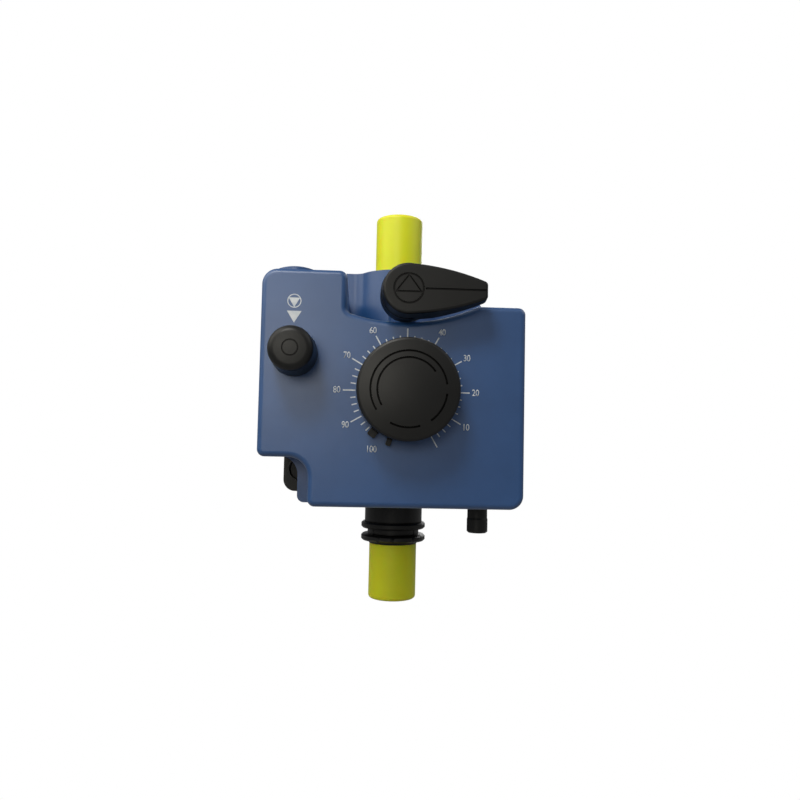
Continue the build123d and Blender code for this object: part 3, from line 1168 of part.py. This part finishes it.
# ---------------------------------------------------------------- signal connector
SOCKET_RADIUS = 5.5
CONNECTOR_CAP_RADIUS = 6.7
CONNECTOR_TOP_Z = 13.0 - HALF_HEIGHT
CONNECTOR_FACE_Z = -HALF_HEIGHT - 1.4
connector_axis = at(CONNECTOR_DEPTH, CONNECTOR_X)
with BuildPart() as connector_socket:
    turned(
        [
            (0, CONNECTOR_TOP_Z),
            (6, CONNECTOR_TOP_Z),
            (6, CONNECTOR_FACE_Z + 1.4),
            (CONNECTOR_CAP_RADIUS, CONNECTOR_FACE_Z + 1.4),
            (CONNECTOR_CAP_RADIUS, CONNECTOR_FACE_Z),
            (SOCKET_RADIUS, CONNECTOR_FACE_Z),
            (SOCKET_RADIUS, CONNECTOR_FACE_Z - 11),
            (4.2, CONNECTOR_FACE_Z - 11),
            (4.2, CONNECTOR_FACE_Z - 3),
            (0, CONNECTOR_FACE_Z - 3),
        ],
        connector_axis,
        UP,
    )
    with BuildSketch(Plane(origin=at(CONNECTOR_DEPTH, CONNECTOR_X, WALL - HALF_HEIGHT))) as nut:
        RegularPolygon(8.6, 6)
    extrude(nut.sketch, amount=4)
    for x, y in [(2, 2), (-2, 2), (2, -2), (-2, -2)]:
        pin_foot = at(CONNECTOR_DEPTH + y, CONNECTOR_X + x)
        turned(ring(0, 0.6, CONNECTOR_FACE_Z - 9.5, CONNECTOR_FACE_Z - 2), pin_foot, UP)
finish(connector_socket, "connector_socket")

with BuildPart() as connector_cap:
    cap_top_z = CONNECTOR_FACE_Z - CAP_GAP
    cap_foot_z = CONNECTOR_FACE_Z - 19.2
    band_top_z = cap_foot_z + 10
    turned(
        [
            (SOCKET_RADIUS + RUN, cap_top_z),
            (CONNECTOR_CAP_RADIUS, cap_top_z),
            (CONNECTOR_CAP_RADIUS, band_top_z),
            (CONNECTOR_CAP_RADIUS + 0.3, band_top_z - 1),
            (CONNECTOR_CAP_RADIUS + 0.3, cap_foot_z + 1),
            (CONNECTOR_CAP_RADIUS - 0.7, cap_foot_z),
            (0, cap_foot_z),
            (0, CONNECTOR_FACE_Z - 12),
            (SOCKET_RADIUS + RUN, CONNECTOR_FACE_Z - 12),
        ],
        connector_axis,
        UP,
    )
finish(connector_cap, "connector_cap")
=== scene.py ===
# %% [markdown]
# # A diaphragm metering pump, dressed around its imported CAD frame
#
# The CAD model already has the pump's true shapes: the housing, the controls, the ports and the
# drive inside. Blender adds what a plain solid lacks: the plastics and metals, the printed dial
# scale, and the threads of the ports. The shapes could be modelled again here, but then the two
# models would drift apart, so the CAD pieces are loaded and stay where they are. Everything is in
# metres, in the CAD model's own frame: +Z is up, the front face looks along -Y, and the wall is
# the plane y = 0.

import json
from math import cos, radians, sin

import bpy
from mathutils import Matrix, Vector

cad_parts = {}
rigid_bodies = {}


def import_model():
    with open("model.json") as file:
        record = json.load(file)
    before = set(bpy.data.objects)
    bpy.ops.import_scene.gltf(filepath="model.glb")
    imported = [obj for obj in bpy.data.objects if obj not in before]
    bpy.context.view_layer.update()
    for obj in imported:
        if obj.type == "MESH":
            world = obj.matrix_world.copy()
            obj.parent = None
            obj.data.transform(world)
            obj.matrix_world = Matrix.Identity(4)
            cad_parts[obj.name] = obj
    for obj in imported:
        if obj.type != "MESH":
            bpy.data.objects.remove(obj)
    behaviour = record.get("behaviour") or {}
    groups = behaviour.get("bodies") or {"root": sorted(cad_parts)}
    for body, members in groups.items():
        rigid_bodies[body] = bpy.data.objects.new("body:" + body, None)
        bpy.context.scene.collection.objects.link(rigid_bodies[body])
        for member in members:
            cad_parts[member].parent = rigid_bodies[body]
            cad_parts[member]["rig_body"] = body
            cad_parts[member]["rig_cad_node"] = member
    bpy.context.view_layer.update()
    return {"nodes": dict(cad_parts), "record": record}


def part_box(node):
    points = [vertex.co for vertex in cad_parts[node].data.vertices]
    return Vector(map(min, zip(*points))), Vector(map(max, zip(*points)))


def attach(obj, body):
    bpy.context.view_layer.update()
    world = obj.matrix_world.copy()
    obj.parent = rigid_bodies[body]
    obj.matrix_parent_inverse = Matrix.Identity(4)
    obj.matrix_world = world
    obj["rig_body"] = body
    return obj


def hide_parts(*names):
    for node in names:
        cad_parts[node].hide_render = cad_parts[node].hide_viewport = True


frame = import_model()
nodes = frame["nodes"]

# %% Places that the prints and threads are set out from
MM = 0.001
FACE_Y = -140 * MM  # the front face
DIAL = Vector((8, -140, -1.4)) * MM  # where the dial's axis meets the front face
PORTS = Vector((7, -30, 0)) * MM  # the upright axis of both ports
print("dial at:", tuple(DIAL), "ports at:", tuple(PORTS))


# %% [markdown]
# ## Helpers
#
# Every new piece goes through the same few steps: it is selected alone, shaped, brought to rest at
# the origin, and given its name and finish. An operator acts on everything that is selected, and
# the loaded CAD nodes are selected. The steps could be written out each time, but a selection that
# is forgotten once would change the CAD nodes too, so the helpers always select first.


# %% Helpers for selecting and settling
def select_only(*pieces):
    """Only these objects are selected, and the last one is active."""
    bpy.ops.object.select_all(action="DESELECT")
    for piece in pieces:
        piece.select_set(True)
    bpy.context.view_layer.objects.active = pieces[-1]


def settle(piece):
    """Moves a piece's place, turn and size into its mesh, so that its object sits at the origin."""
    select_only(piece)
    bpy.ops.object.transform_apply(location=True, rotation=True, scale=True)
    return piece


def join(pieces, name):
    """Joins pieces into one mesh."""
    select_only(*pieces)
    bpy.ops.object.join()
    joined = bpy.context.object
    joined.name = name
    joined.data.name = name
    return settle(joined)


# %% A helper that finishes a piece
def finish(piece, name, body, material):
    """Names a piece, gives it its finish, and lets it ride on its CAD body."""
    piece.name = name
    piece.data.name = name
    piece.data.materials.clear()
    piece.data.materials.append(material)
    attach(piece, body)
    print(name, "on", body, "vertices:", len(piece.data.vertices))


# %% [markdown]
# ## Finishes
#
# Moulded plastic is never one flat colour: the steel mould leaves a fine eroded texture, and the
# melt flows in faint clouds. Narrow grooves get painted shade, darker and duller. Pictures of
# plastic could be
# wrapped round the pieces, but they need files and show seams. So one helper builds all the
# surfaces from two noises, and they look like they belong together: only the colour, gloss and
# grain differ. The patterns read Object coordinates, so they stay on a piece when it moves.


# %% A helper for the colours
def linear(red, green, blue):
    """The linear colour of an 8-bit screen colour."""
    return tuple(
        ((c / 255 + 0.055) / 1.055) ** 2.4 if c > 10 else c / 3294.6 for c in (red, green, blue)
    )


# %% Helpers for the clouds of colour
def noise(tree, place, scale, detail):
    """A noise pattern, read at the places that come in."""
    pattern = tree.nodes.new("ShaderNodeTexNoise")
    pattern.inputs["Scale"].default_value = scale
    pattern.inputs["Detail"].default_value = detail
    tree.links.new(place, pattern.inputs["Vector"])
    return pattern.outputs["Fac"]


def clouded(tree, place, dark, light, scale):
    """A colour that drifts in faint clouds between two values."""
    colours = tree.nodes.new("ShaderNodeValToRGB")
    low, high = colours.color_ramp.elements
    low.position, low.color = 0.35, (*dark, 1)
    high.position, high.color = 0.65, (*light, 1)
    tree.links.new(noise(tree, place, scale, detail=3.0), colours.inputs["Fac"])
    return colours.outputs["Color"]


# %% A helper for painted shade in grooves
CLOSED, OPEN = 0.45, 0.9  # the occlusion values of a groove and of a flat face


def recessed(tree, colour, distance, shine):
    """The colour and shine of a surface with painted shade: its narrow grooves are made darker and
    duller.

    The painted shade follows ambient occlusion, which tells how deep a place lies.
    """
    hollow = tree.nodes.new("ShaderNodeAmbientOcclusion")
    hollow.inputs["Distance"].default_value = distance
    hollow.only_local = True
    tree.links.new(colour, hollow.inputs["Color"])
    depth = tree.nodes.new("ShaderNodeMapRange")
    depth.inputs["From Min"].default_value = CLOSED
    depth.inputs["From Max"].default_value = OPEN
    depth.inputs["To Max"].default_value = shine
    tree.links.new(hollow.outputs["AO"], depth.inputs["Value"])
    return hollow.outputs["Color"], depth.outputs["Result"]


# %% A helper for the grain
GLOSS_DRIFT = 0.06  # how far the roughness wanders to either side


def grained(tree, place, shader, roughness, scale, height):
    """A fine grain in the gloss and in the relief of a surface."""
    grain = noise(tree, place, scale, detail=2.0)
    gloss = tree.nodes.new("ShaderNodeMapRange")
    gloss.inputs["To Min"].default_value = roughness - GLOSS_DRIFT
    gloss.inputs["To Max"].default_value = roughness + GLOSS_DRIFT
    tree.links.new(grain, gloss.inputs["Value"])
    tree.links.new(gloss.outputs["Result"], shader.inputs["Roughness"])
    relief = tree.nodes.new("ShaderNodeBump")
    relief.inputs["Strength"].default_value = 1.0
    relief.inputs["Distance"].default_value = height
    tree.links.new(grain, relief.inputs["Height"])
    tree.links.new(relief.outputs["Normal"], shader.inputs["Normal"])


# %% A helper for the surfaces
def surface(
    name, dark, light, roughness, metallic=0.0, shine=0.5, cloud=40.0, grain=1800.0, bump=0.02,
    stretch=(1, 1, 1), groove_shade_reach=0.0,
):
    """A material whose colour drifts between two values, with a fine grain in gloss and relief.

    The grain's height is in millimetres. The last argument, a distance, paints shade that darkens
    and dulls grooves up to that width.
    """
    material = bpy.data.materials.new(name)
    material.use_nodes = True
    tree = material.node_tree
    shader = tree.nodes["Principled BSDF"]
    shader.inputs["Metallic"].default_value = metallic
    shader.inputs["Specular IOR Level"].default_value = shine

    coordinates = tree.nodes.new("ShaderNodeTexCoord")
    mapping = tree.nodes.new("ShaderNodeMapping")
    mapping.inputs["Scale"].default_value = stretch
    tree.links.new(coordinates.outputs["Object"], mapping.inputs["Vector"])
    place = mapping.outputs["Vector"]

    colour = clouded(tree, place, dark, light, cloud)
    # painted shade: ambient occlusion darkens the colour and dulls the gloss in narrow grooves
    if groove_shade_reach:
        colour, shaded_shine = recessed(tree, colour, groove_shade_reach, shine)
        tree.links.new(shaded_shine, shader.inputs["Specular IOR Level"])
    tree.links.new(colour, shader.inputs["Base Color"])
    grained(tree, place, shader, roughness, grain, bump * MM)
    return material


# %% [markdown]
# The housing is blue polypropylene with a fine matt texture, the wall plate and the controls are
# black, and the caps are soft yellow polyethylene. The wet end is natural PVDF, a milky white
# plastic, its valve seats and balls are ceramic, and the drive is steel, brass and copper. Turned
# metal has its grain stretched along one axis. Each CAD node names its material slot, so the
# finishes are kept by slot and given out in one loop, and no piece is left plain by mistake.

# %% The finishes, one for each material slot
finishes = {
    "blue_housing": surface(
        "blue_housing", linear(29, 73, 126), linear(34, 78, 133), 0.4, shine=0.9, bump=0.03
    ),
    "black_plastic": surface(
        "black_plastic", linear(15, 15, 14), linear(20, 20, 19), 0.4, shine=0.33, bump=0.025,
        # painted shade darkens and dulls the grooves up to 1.5 mm wide
        groove_shade_reach=1.5 * MM,
    ),
    "yellow_cap": surface(
        "yellow_cap", linear(238, 236, 26), linear(246, 243, 40), 0.42, cloud=25, bump=0.01
    ),
    "steel": surface(
        "steel", (0.5, 0.5, 0.51), (0.6, 0.6, 0.6), 0.3, metallic=1, stretch=(1, 8, 1)
    ),
    "fastener_steel": surface(
        "fastener_steel", (0.46, 0.47, 0.48), (0.56, 0.56, 0.55), 0.34, metallic=1
    ),
    "pvdf": surface("pvdf", linear(222, 221, 210), linear(231, 230, 220), 0.4),
    "ceramic": surface(
        "ceramic", linear(238, 232, 215), linear(243, 238, 224), 0.16, bump=0.002
    ),
    "rubber": surface("rubber", linear(22, 22, 22), linear(30, 30, 30), 0.7, bump=0.04),
    "brass": surface(
        "brass", (0.7, 0.5, 0.2), (0.78, 0.58, 0.27), 0.28, metallic=1, stretch=(1, 6, 1)
    ),
    "copper": surface(
        "copper", (0.5, 0.16, 0.05), (0.62, 0.24, 0.09), 0.32, metallic=0.6, grain=900,
        stretch=(1, 12, 1),
    ),
    "board": surface("board", linear(12, 70, 34), linear(22, 92, 46), 0.35, cloud=180, bump=0.01),
}
soft_plastic = finishes["yellow_cap"].node_tree.nodes["Principled BSDF"]
soft_plastic.inputs["Subsurface Weight"].default_value = 0.25
soft_plastic.inputs["Subsurface Scale"].default_value = 0.004
print("finishes:", len(finishes))

# %% Every CAD node gets the finish of its slot
slots = {row["node"]: row["material_slot"] for row in frame["record"]["subparts"]}
for node, piece in nodes.items():
    piece.data.materials.clear()
    piece.data.materials.append(finishes[slots[node]])
print("nodes with a finish:", len(slots))

# %% [markdown]
# ## Poles of the domes
#
# The knobs and the vent cap have smooth moulded domes. All the triangles of a dome meet in one
# point, and the CAD mesh stores a wrong normal there, which would show as a bright speck in the
# middle of a knob. Shading the whole piece anew would cure it, but would also lose the good normals
# of its edges. So only a wrong normal, known by its length or by pointing away from its own face,
# is replaced by the mean of the faces round its place.

# %% Find the corners that meet
MICRON = 0.001 * MM
ALIKE = 0.5  # the cosine of the widest angle between faces of one smooth surface


def corners_by_place(mesh):
    """The face corners of a mesh, gathered by the place where they meet."""
    meeting = {}
    for face in mesh.polygons:
        for corner in face.loop_indices:
            place = mesh.vertices[mesh.loops[corner].vertex_index].co
            key = tuple(round(value / MICRON) for value in place)
            meeting.setdefault(key, []).append((corner, face))
    return meeting


# %% Mend the normals
def is_sound(normal, face):
    """A stored normal is right if it has unit length and looks roughly the way its face does."""
    return abs(normal.length - 1) < 0.01 and normal.dot(face.normal) > ALIKE


def mend_poles(piece):
    """Gives a wrong stored normal the mean of the faces round its place that look the same way."""
    mesh = piece.data
    normals = [corner.vector.copy() for corner in mesh.corner_normals]
    mended = 0
    for corners in corners_by_place(mesh).values():
        if all(is_sound(normals[corner], face) for corner, face in corners):
            continue
        mended += 1
        for corner, face in corners:
            alike = [
                other.normal * other.area
                for _, other in corners
                if other.normal.dot(face.normal) > ALIKE
            ]
            normals[corner] = sum(alike, Vector()).normalized()
    mesh.normals_split_custom_set(normals)
    print(piece.name, "normals mended at places:", mended)


for node in ("dial_knob", "vent_knob", "vent_port_cap"):
    mend_poles(nodes[node])

# %% [markdown]
# ## The dial's scale
#
# The scale is screen-printed on the front face, in off-white ink about a twentieth of a
# millimetre thick. It could be painted into the blue material, but a shape of its own stays sharp
# from close by. Each stroke is a plane that is stretched to the
# stroke's size, turned about the dial's axis, and given the ink's thickness by an extrusion.

# %% Ink
INK = 0.06 * MM  # thickness of the print
INK_BACK = FACE_Y + 0.02 * MM  # the print starts just under the face
print_ink = surface(
    "print_ink", linear(205, 212, 220), linear(224, 228, 232), 0.55, cloud=300, bump=0.01
)


def lift(piece):
    """Gives a flat print its thickness, from just under the face it is printed on."""
    select_only(piece)
    bpy.ops.object.mode_set(mode="EDIT")
    bpy.ops.mesh.select_all(action="SELECT")
    bpy.ops.mesh.extrude_region_move(TRANSFORM_OT_translate={"value": (0, -INK, 0)})
    bpy.ops.mesh.select_all(action="SELECT")
    bpy.ops.mesh.normals_make_consistent(inside=False)
    bpy.ops.object.mode_set(mode="OBJECT")
    return piece


def print_on_housing(piece, name):
    """Finishes a piece as a print on the housing."""
    finish(piece, name, "pump_body", print_ink)


# %% Where a reading stands on the scale
SCALE_START = 150  # degrees clockwise from the top, where the scale reads 0
READING_TURN = 3  # degrees of the dial for one per cent


def round_the_dial(radius, reading):
    """The place and the clockwise turn of a reading, at a radius from the dial's axis."""
    turn = radians(SCALE_START - reading * READING_TURN)
    return (DIAL.x + radius * sin(turn), INK_BACK, DIAL.z + radius * cos(turn)), turn


# %% Strokes of the scale
STROKES = 40  # the pointer's middle stroke stands for 100
STROKE_READING = 2.5  # per cent from one stroke to the next
STROKE_INNER = 30.6 * MM
MAJOR_OUTER, MAJOR_WIDTH = 38.0 * MM, 0.75 * MM
MINOR_OUTER, MINOR_WIDTH = 33.7 * MM, 0.7 * MM


def stroke(reading, outer, width):
    """One stroke of the scale, turned clockwise about the dial as seen from the front."""
    bpy.ops.mesh.primitive_plane_add(size=1, location=(0, 0, 0), rotation=(radians(90), 0, 0))
    piece = bpy.context.object
    piece.scale = (width, outer - STROKE_INNER, 1)
    settle(piece)
    place, turn = round_the_dial((outer + STROKE_INNER) / 2, reading)
    piece.rotation_euler = (0, turn, 0)
    piece.location = place
    return lift(settle(piece))


strokes = []
for step in range(STROKES):
    outer, width = (MINOR_OUTER, MINOR_WIDTH) if step % 4 else (MAJOR_OUTER, MAJOR_WIDTH)
    strokes.append(stroke(step * STROKE_READING, outer, width))
print_on_housing(join(strokes, "dial_scale"), "dial_scale")

# %% [markdown]
# ## The dial's numbers
#
# The numbers are printed in a narrow upright face. They could be drawn stroke by stroke, but a text
# object already has well-formed figures. It is squeezed a little, thickened a little, turned into
# a mesh, and lifted like the strokes.


# %% A helper for lettering
def lettering(text, place, height):
    """Upright text on the front face, centred on its place, as a mesh."""
    bpy.ops.object.text_add(location=place, rotation=(radians(90), 0, 0))
    piece = bpy.context.object
    piece.data.body = text
    piece.data.size = height / 0.7  # a figure is seven tenths of the type size high
    piece.data.align_x = "CENTER"
    piece.data.align_y = "CENTER"
    piece.data.space_character = 0.95
    piece.data.resolution_u = 4
    piece.data.offset = 0.035 * MM
    piece.scale = (0.82, 1, 1)
    bpy.ops.object.convert(target="MESH")
    return lift(settle(bpy.context.object))


# %% Numbers of the scale
NUMBER_RADIUS = 41.6 * MM
LAST_NUMBER_RADIUS = 40.4 * MM
NUMBER_HEIGHT = 3.9 * MM
READINGS = (10, 20, 30, 40, 60, 70, 80, 90, 100)
numbers = []
for reading in READINGS:
    out = LAST_NUMBER_RADIUS if reading == READINGS[-1] else NUMBER_RADIUS
    numbers.append(lettering(str(reading), round_the_dial(out, reading)[0], NUMBER_HEIGHT))
print_on_housing(join(numbers, "dial_numbers"), "dial_numbers")

# %% [markdown]
# ## The vent's signs
#
# Above the vent knob stand a round valve sign and a triangle that points down at the knob. They
# could be cut out of a plate, but both triangles are simply circles of three corners, turned over,
# and the lower one is stretched to its width. The ring of the sign is a disc whose middle is cut
# away by an inset.


# %% A helper for the flat signs
def flat_disc(corners, radius, x, z, turn=0.0):
    """A flat polygon on the front face, with its first corner up, turned clockwise."""
    bpy.ops.mesh.primitive_circle_add(vertices=corners, radius=radius, fill_type="NGON")
    piece = bpy.context.object
    piece.rotation_euler = (radians(90), radians(turn), 0)
    piece.location = (x, INK_BACK, z)
    return settle(piece)


# %% Triangle
ARROW = Vector((-60.1, 0, 42.8)) * MM  # the middle of the circle round it
ARROW_WIDTH, ARROW_HEIGHT = 8.8 * MM, 7.1 * MM
arrow = flat_disc(3, 1.0, 0, 0, turn=180)
arrow.scale = (ARROW_WIDTH / 2 / cos(radians(30)), 1, ARROW_HEIGHT / 1.5)
arrow.location = ARROW
print_on_housing(lift(settle(arrow)), "vent_arrow")

# %% Round valve sign
SIGN_X, SIGN_Z = -60.2 * MM, 51.2 * MM
SIGN_RADIUS = 4.2 * MM
SIGN_LINE = 0.55 * MM
TRIANGLE_GAP = 0.3 * MM
rim = flat_disc(48, SIGN_RADIUS, SIGN_X, SIGN_Z)
select_only(rim)
bpy.ops.object.mode_set(mode="EDIT")
bpy.ops.mesh.select_all(action="SELECT")
bpy.ops.mesh.inset(thickness=SIGN_LINE)
bpy.ops.mesh.delete(type="FACE")
bpy.ops.object.mode_set(mode="OBJECT")
triangle = flat_disc(3, SIGN_RADIUS - TRIANGLE_GAP, SIGN_X, SIGN_Z, turn=180)
print_on_housing(lift(join([rim, triangle], "vent_sign")), "vent_sign")

# %% [markdown]
# ## Port threads
#
# Each port has a G1 pipe thread under its cap: eleven turns to the inch, with rounded flanks. The
# CAD nozzle is a plain cylinder there. A bump in the material would do from afar, but the thread
# shows in outline when a cap is pulled off. So a copy of the nozzle is merged, its plain wall is
# pressed in to the thread's root, and a ridge with the thread's profile is wound round it by the
# Screw modifier, much as it is cut on a lathe.

# %% The ridge of a thread
PITCH = 25.4 / 11 * MM
THREAD_ROOT = 15.2 * MM
THREAD_CREST = 16.2 * MM
SUNK = 0.3 * MM  # how deep the ridge stands in the nozzle's wall
FOOT_HALF, CREST_HALF = 0.46, 0.12  # half of the ridge's width, in pitches
STEPS = 48  # facets of one turn
FIRST_TURN = 0.7  # how far up the thread starts, in pitches


def ridge_profile():
    """The ridge's cross-section: a plane whose corners go to the foot and the crest."""
    bpy.ops.mesh.primitive_plane_add(size=1, rotation=(radians(90), 0, 0))
    ridge = settle(bpy.context.object)
    for vertex in ridge.data.vertices:
        at_crest, upper = vertex.co.x > 0, vertex.co.z > 0
        out = THREAD_CREST if at_crest else THREAD_ROOT - SUNK
        half = (CREST_HALF if at_crest else FOOT_HALF) * PITCH
        vertex.co = (out, 0, half if upper else -half)
    return ridge


def wound_ridge(start_z, end_z):
    """The ridge of a thread, wound about the ports' axis from one height to the other."""
    ridge = ridge_profile()
    winding = ridge.modifiers.new("winding", "SCREW")
    winding.axis = "Z"
    winding.screw_offset = PITCH
    winding.iterations = int((end_z - start_z) / PITCH) - 1
    winding.steps = STEPS
    winding.render_steps = STEPS
    winding.use_normal_calculate = True
    select_only(ridge)
    bpy.ops.object.modifier_apply(modifier="winding")
    ridge.location = (PORTS.x, PORTS.y, start_z + PITCH * FIRST_TURN)
    return settle(ridge)


# %% The nozzle's core
PLAIN_RADIUS = 16.1 * MM
REACH = 0.1 * MM  # how near a point must be to count as one of the plain wall
MERGE = 0.002 * MM


def merged_copy(node):
    """A copy of a CAD node that is no node itself, with its loose triangles merged."""
    select_only(nodes[node])
    bpy.ops.object.duplicate()
    core = bpy.context.object
    core.parent = None
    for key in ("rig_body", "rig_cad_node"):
        if key in core:
            del core[key]
    bpy.ops.object.mode_set(mode="EDIT")
    bpy.ops.mesh.select_all(action="SELECT")
    bpy.ops.mesh.remove_doubles(threshold=MERGE)
    bpy.ops.object.mode_set(mode="OBJECT")
    return core


def press_in(core, start_z, end_z):
    """Moves the plain wall between two heights in to the thread's root."""
    moved = 0
    for vertex in core.data.vertices:
        across = Vector((vertex.co.x - PORTS.x, vertex.co.y - PORTS.y))
        in_length = start_z - REACH <= vertex.co.z <= end_z + REACH
        if in_length and abs(across.length - PLAIN_RADIUS) < REACH:
            across.length = THREAD_ROOT
            vertex.co.x, vertex.co.y = PORTS.x + across.x, PORTS.y + across.y
            moved += 1
    print("wall points moved to the root:", moved)


# %% Threads on both nozzles
THREAD_LENGTH = 30 * MM


def threaded(node, name, start_z, end_z):
    """A copy of a plain CAD nozzle with a thread in place of its plain wall."""
    core = merged_copy(node)
    press_in(core, start_z, end_z)
    piece = join([wound_ridge(start_z, end_z), core], name)
    finish(piece, name, "pump_body", finishes["black_plastic"])
    bpy.ops.object.shade_smooth_by_angle(angle=radians(30))
    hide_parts(node)


low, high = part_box("discharge_nozzle")
threaded("discharge_nozzle", "discharge_thread", high.z - THREAD_LENGTH, high.z)
low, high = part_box("suction_nozzle")
threaded("suction_nozzle", "suction_thread", low.z, low.z + THREAD_LENGTH)

# %% [markdown]
# ## Stage
#
# A pale floor lies well below the pump, which hangs on a wall, and a bright even world stands
# behind it. A bright world alone would make the background white too, but it would wash out the
# pump. So the camera sees floor and world as white, while the pump is lit by the lamps and by a
# dim share of the world. Reflections see a fifth of the white, so that metal and gloss show a pale
# studio and black plastic stays black.

# %% A helper for the white background
MIRRORED = 0.2  # share of the white that reflections see


def whiteness(tree):
    """How white a background looks: fully to the camera and through glass, partly mirrored."""
    rays = tree.nodes.new("ShaderNodeLightPath")
    mirrored = tree.nodes.new("ShaderNodeMath")
    mirrored.operation = "MULTIPLY"
    mirrored.inputs[1].default_value = MIRRORED
    tree.links.new(rays.outputs["Is Glossy Ray"], mirrored.inputs[0])
    share = mirrored.outputs["Value"]
    for kind in ("Is Camera Ray", "Is Transmission Ray"):
        larger = tree.nodes.new("ShaderNodeMath")
        larger.operation = "MAXIMUM"
        tree.links.new(rays.outputs[kind], larger.inputs[0])
        tree.links.new(share, larger.inputs[1])
        share = larger.outputs["Value"]
    return share


def whitened(tree, plain, white, output):
    """Mixes a plain look with white, as much as the ray calls for, and sends it to the output."""
    shade = tree.nodes.new("ShaderNodeMixShader")
    tree.links.new(whiteness(tree), shade.inputs["Fac"])
    tree.links.new(plain, shade.inputs[1])
    tree.links.new(white, shade.inputs[2])
    tree.links.new(shade.outputs["Shader"], tree.nodes[output].inputs["Surface"])


# %% Floor
FLOOR_Z = -0.42
FLOOR_SIZE = 30
FLOOR_COLOUR = (0.22, 0.22, 0.22, 1)  # what the pump's underside sees of it
bpy.ops.mesh.primitive_plane_add(size=FLOOR_SIZE, location=(0, 0, FLOOR_Z))
floor = bpy.context.object
floor.name = "floor"
floor_look = bpy.data.materials.new("floor")
floor_look.use_nodes = True
tree = floor_look.node_tree
paper = tree.nodes["Principled BSDF"]
paper.inputs["Base Color"].default_value = FLOOR_COLOUR
paper.inputs["Roughness"].default_value = 0.9
white = tree.nodes.new("ShaderNodeEmission")
white.inputs["Color"].default_value = (1, 1, 1, 1)
whitened(tree, paper.outputs["BSDF"], white.outputs["Emission"], "Material Output")
floor.data.materials.append(floor_look)
print("floor at:", FLOOR_Z)

# %% World
WORLD_COLOUR = (0.93, 0.96, 1.0, 1)
WORLD_STRENGTH = 0.115
world = bpy.data.worlds.new("studio")
world.use_nodes = True
tree = world.node_tree
background = tree.nodes["Background"]
background.inputs["Color"].default_value = WORLD_COLOUR
background.inputs["Strength"].default_value = WORLD_STRENGTH
white = tree.nodes.new("ShaderNodeBackground")
white.inputs["Color"].default_value = (1, 1, 1, 1)
whitened(tree, background.outputs["Background"], white.outputs["Background"], "World Output")
bpy.context.scene.world = world
print("world strength:", WORLD_STRENGTH)

# %% [markdown]
# ## Lamps
#
# The window lamp stands low, near the mirror direction of the front face, and gives the sheen on
# its left side. The small key lamp, high on the left, throws the dial's shadow and leaves the lower
# cap dim. A broad lamp on the left, a fill and a lamp on the right bring out the sides, and one
# behind lights the back. One big soft box would be simpler, but it would show neither the sheen
# nor the shadow.

# %% Lamps
MIDDLE = Vector((0, -0.1, 0))  # what the lamps look at
WARM, PALE, PLAIN = (1.0, 0.96, 0.86), (1.0, 0.98, 0.94), (1, 1, 1)
LAMPS = {  # place, size in metres, watts, colour
    "window": ((-0.22, -0.95, 0.16), 0.3, 1.35, WARM),
    "key": ((-0.25, -0.75, 0.75), 0.25, 3.9, PALE),
    "left": ((-0.85, -0.4, 0.75), 1.2, 8.8, WARM),
    "fill": ((0.8, -0.5, 0.9), 0.8, 1.4, PLAIN),
    "right": ((1.1, -0.08, 0.8), 0.6, 1.8, PLAIN),
    "back": ((0.4, 1.2, 0.6), 0.8, 6.0, PLAIN),
}
for name, (place, size, watts, colour) in LAMPS.items():
    bpy.ops.object.light_add(type="AREA", location=place)
    lamp = bpy.context.object
    lamp.name = name
    lamp.data.shape = "SQUARE"
    lamp.data.size = size
    lamp.data.energy = watts
    lamp.data.color = colour
    lamp.rotation_euler = (Vector(place) - MIDDLE).to_track_quat("Z", "Y").to_euler()
print("lamps:", len(LAMPS))

# %% [markdown]
# ## Camera
#
# The camera stands a little over 40 cm in front of the pump, slightly low and to the left, so the
# left and lower sides of the controls show. It could be aimed by a constraint, but its place, turn
# and lens were worked out together, so all three are written down.

# %% Camera
CAMERA_PLACE = Vector((-18.96, -574.26, -31.38)) * MM
CAMERA_TURN = (radians(93.264), radians(-1.244), radians(-3.127))
bpy.ops.object.camera_add(location=CAMERA_PLACE)
camera = bpy.context.object
camera.rotation_euler = CAMERA_TURN
camera.data.sensor_width = 36
camera.data.lens = 32.82
bpy.context.scene.camera = camera
bpy.context.scene.view_settings.view_transform = "Standard"
print("camera at:", tuple(camera.location))
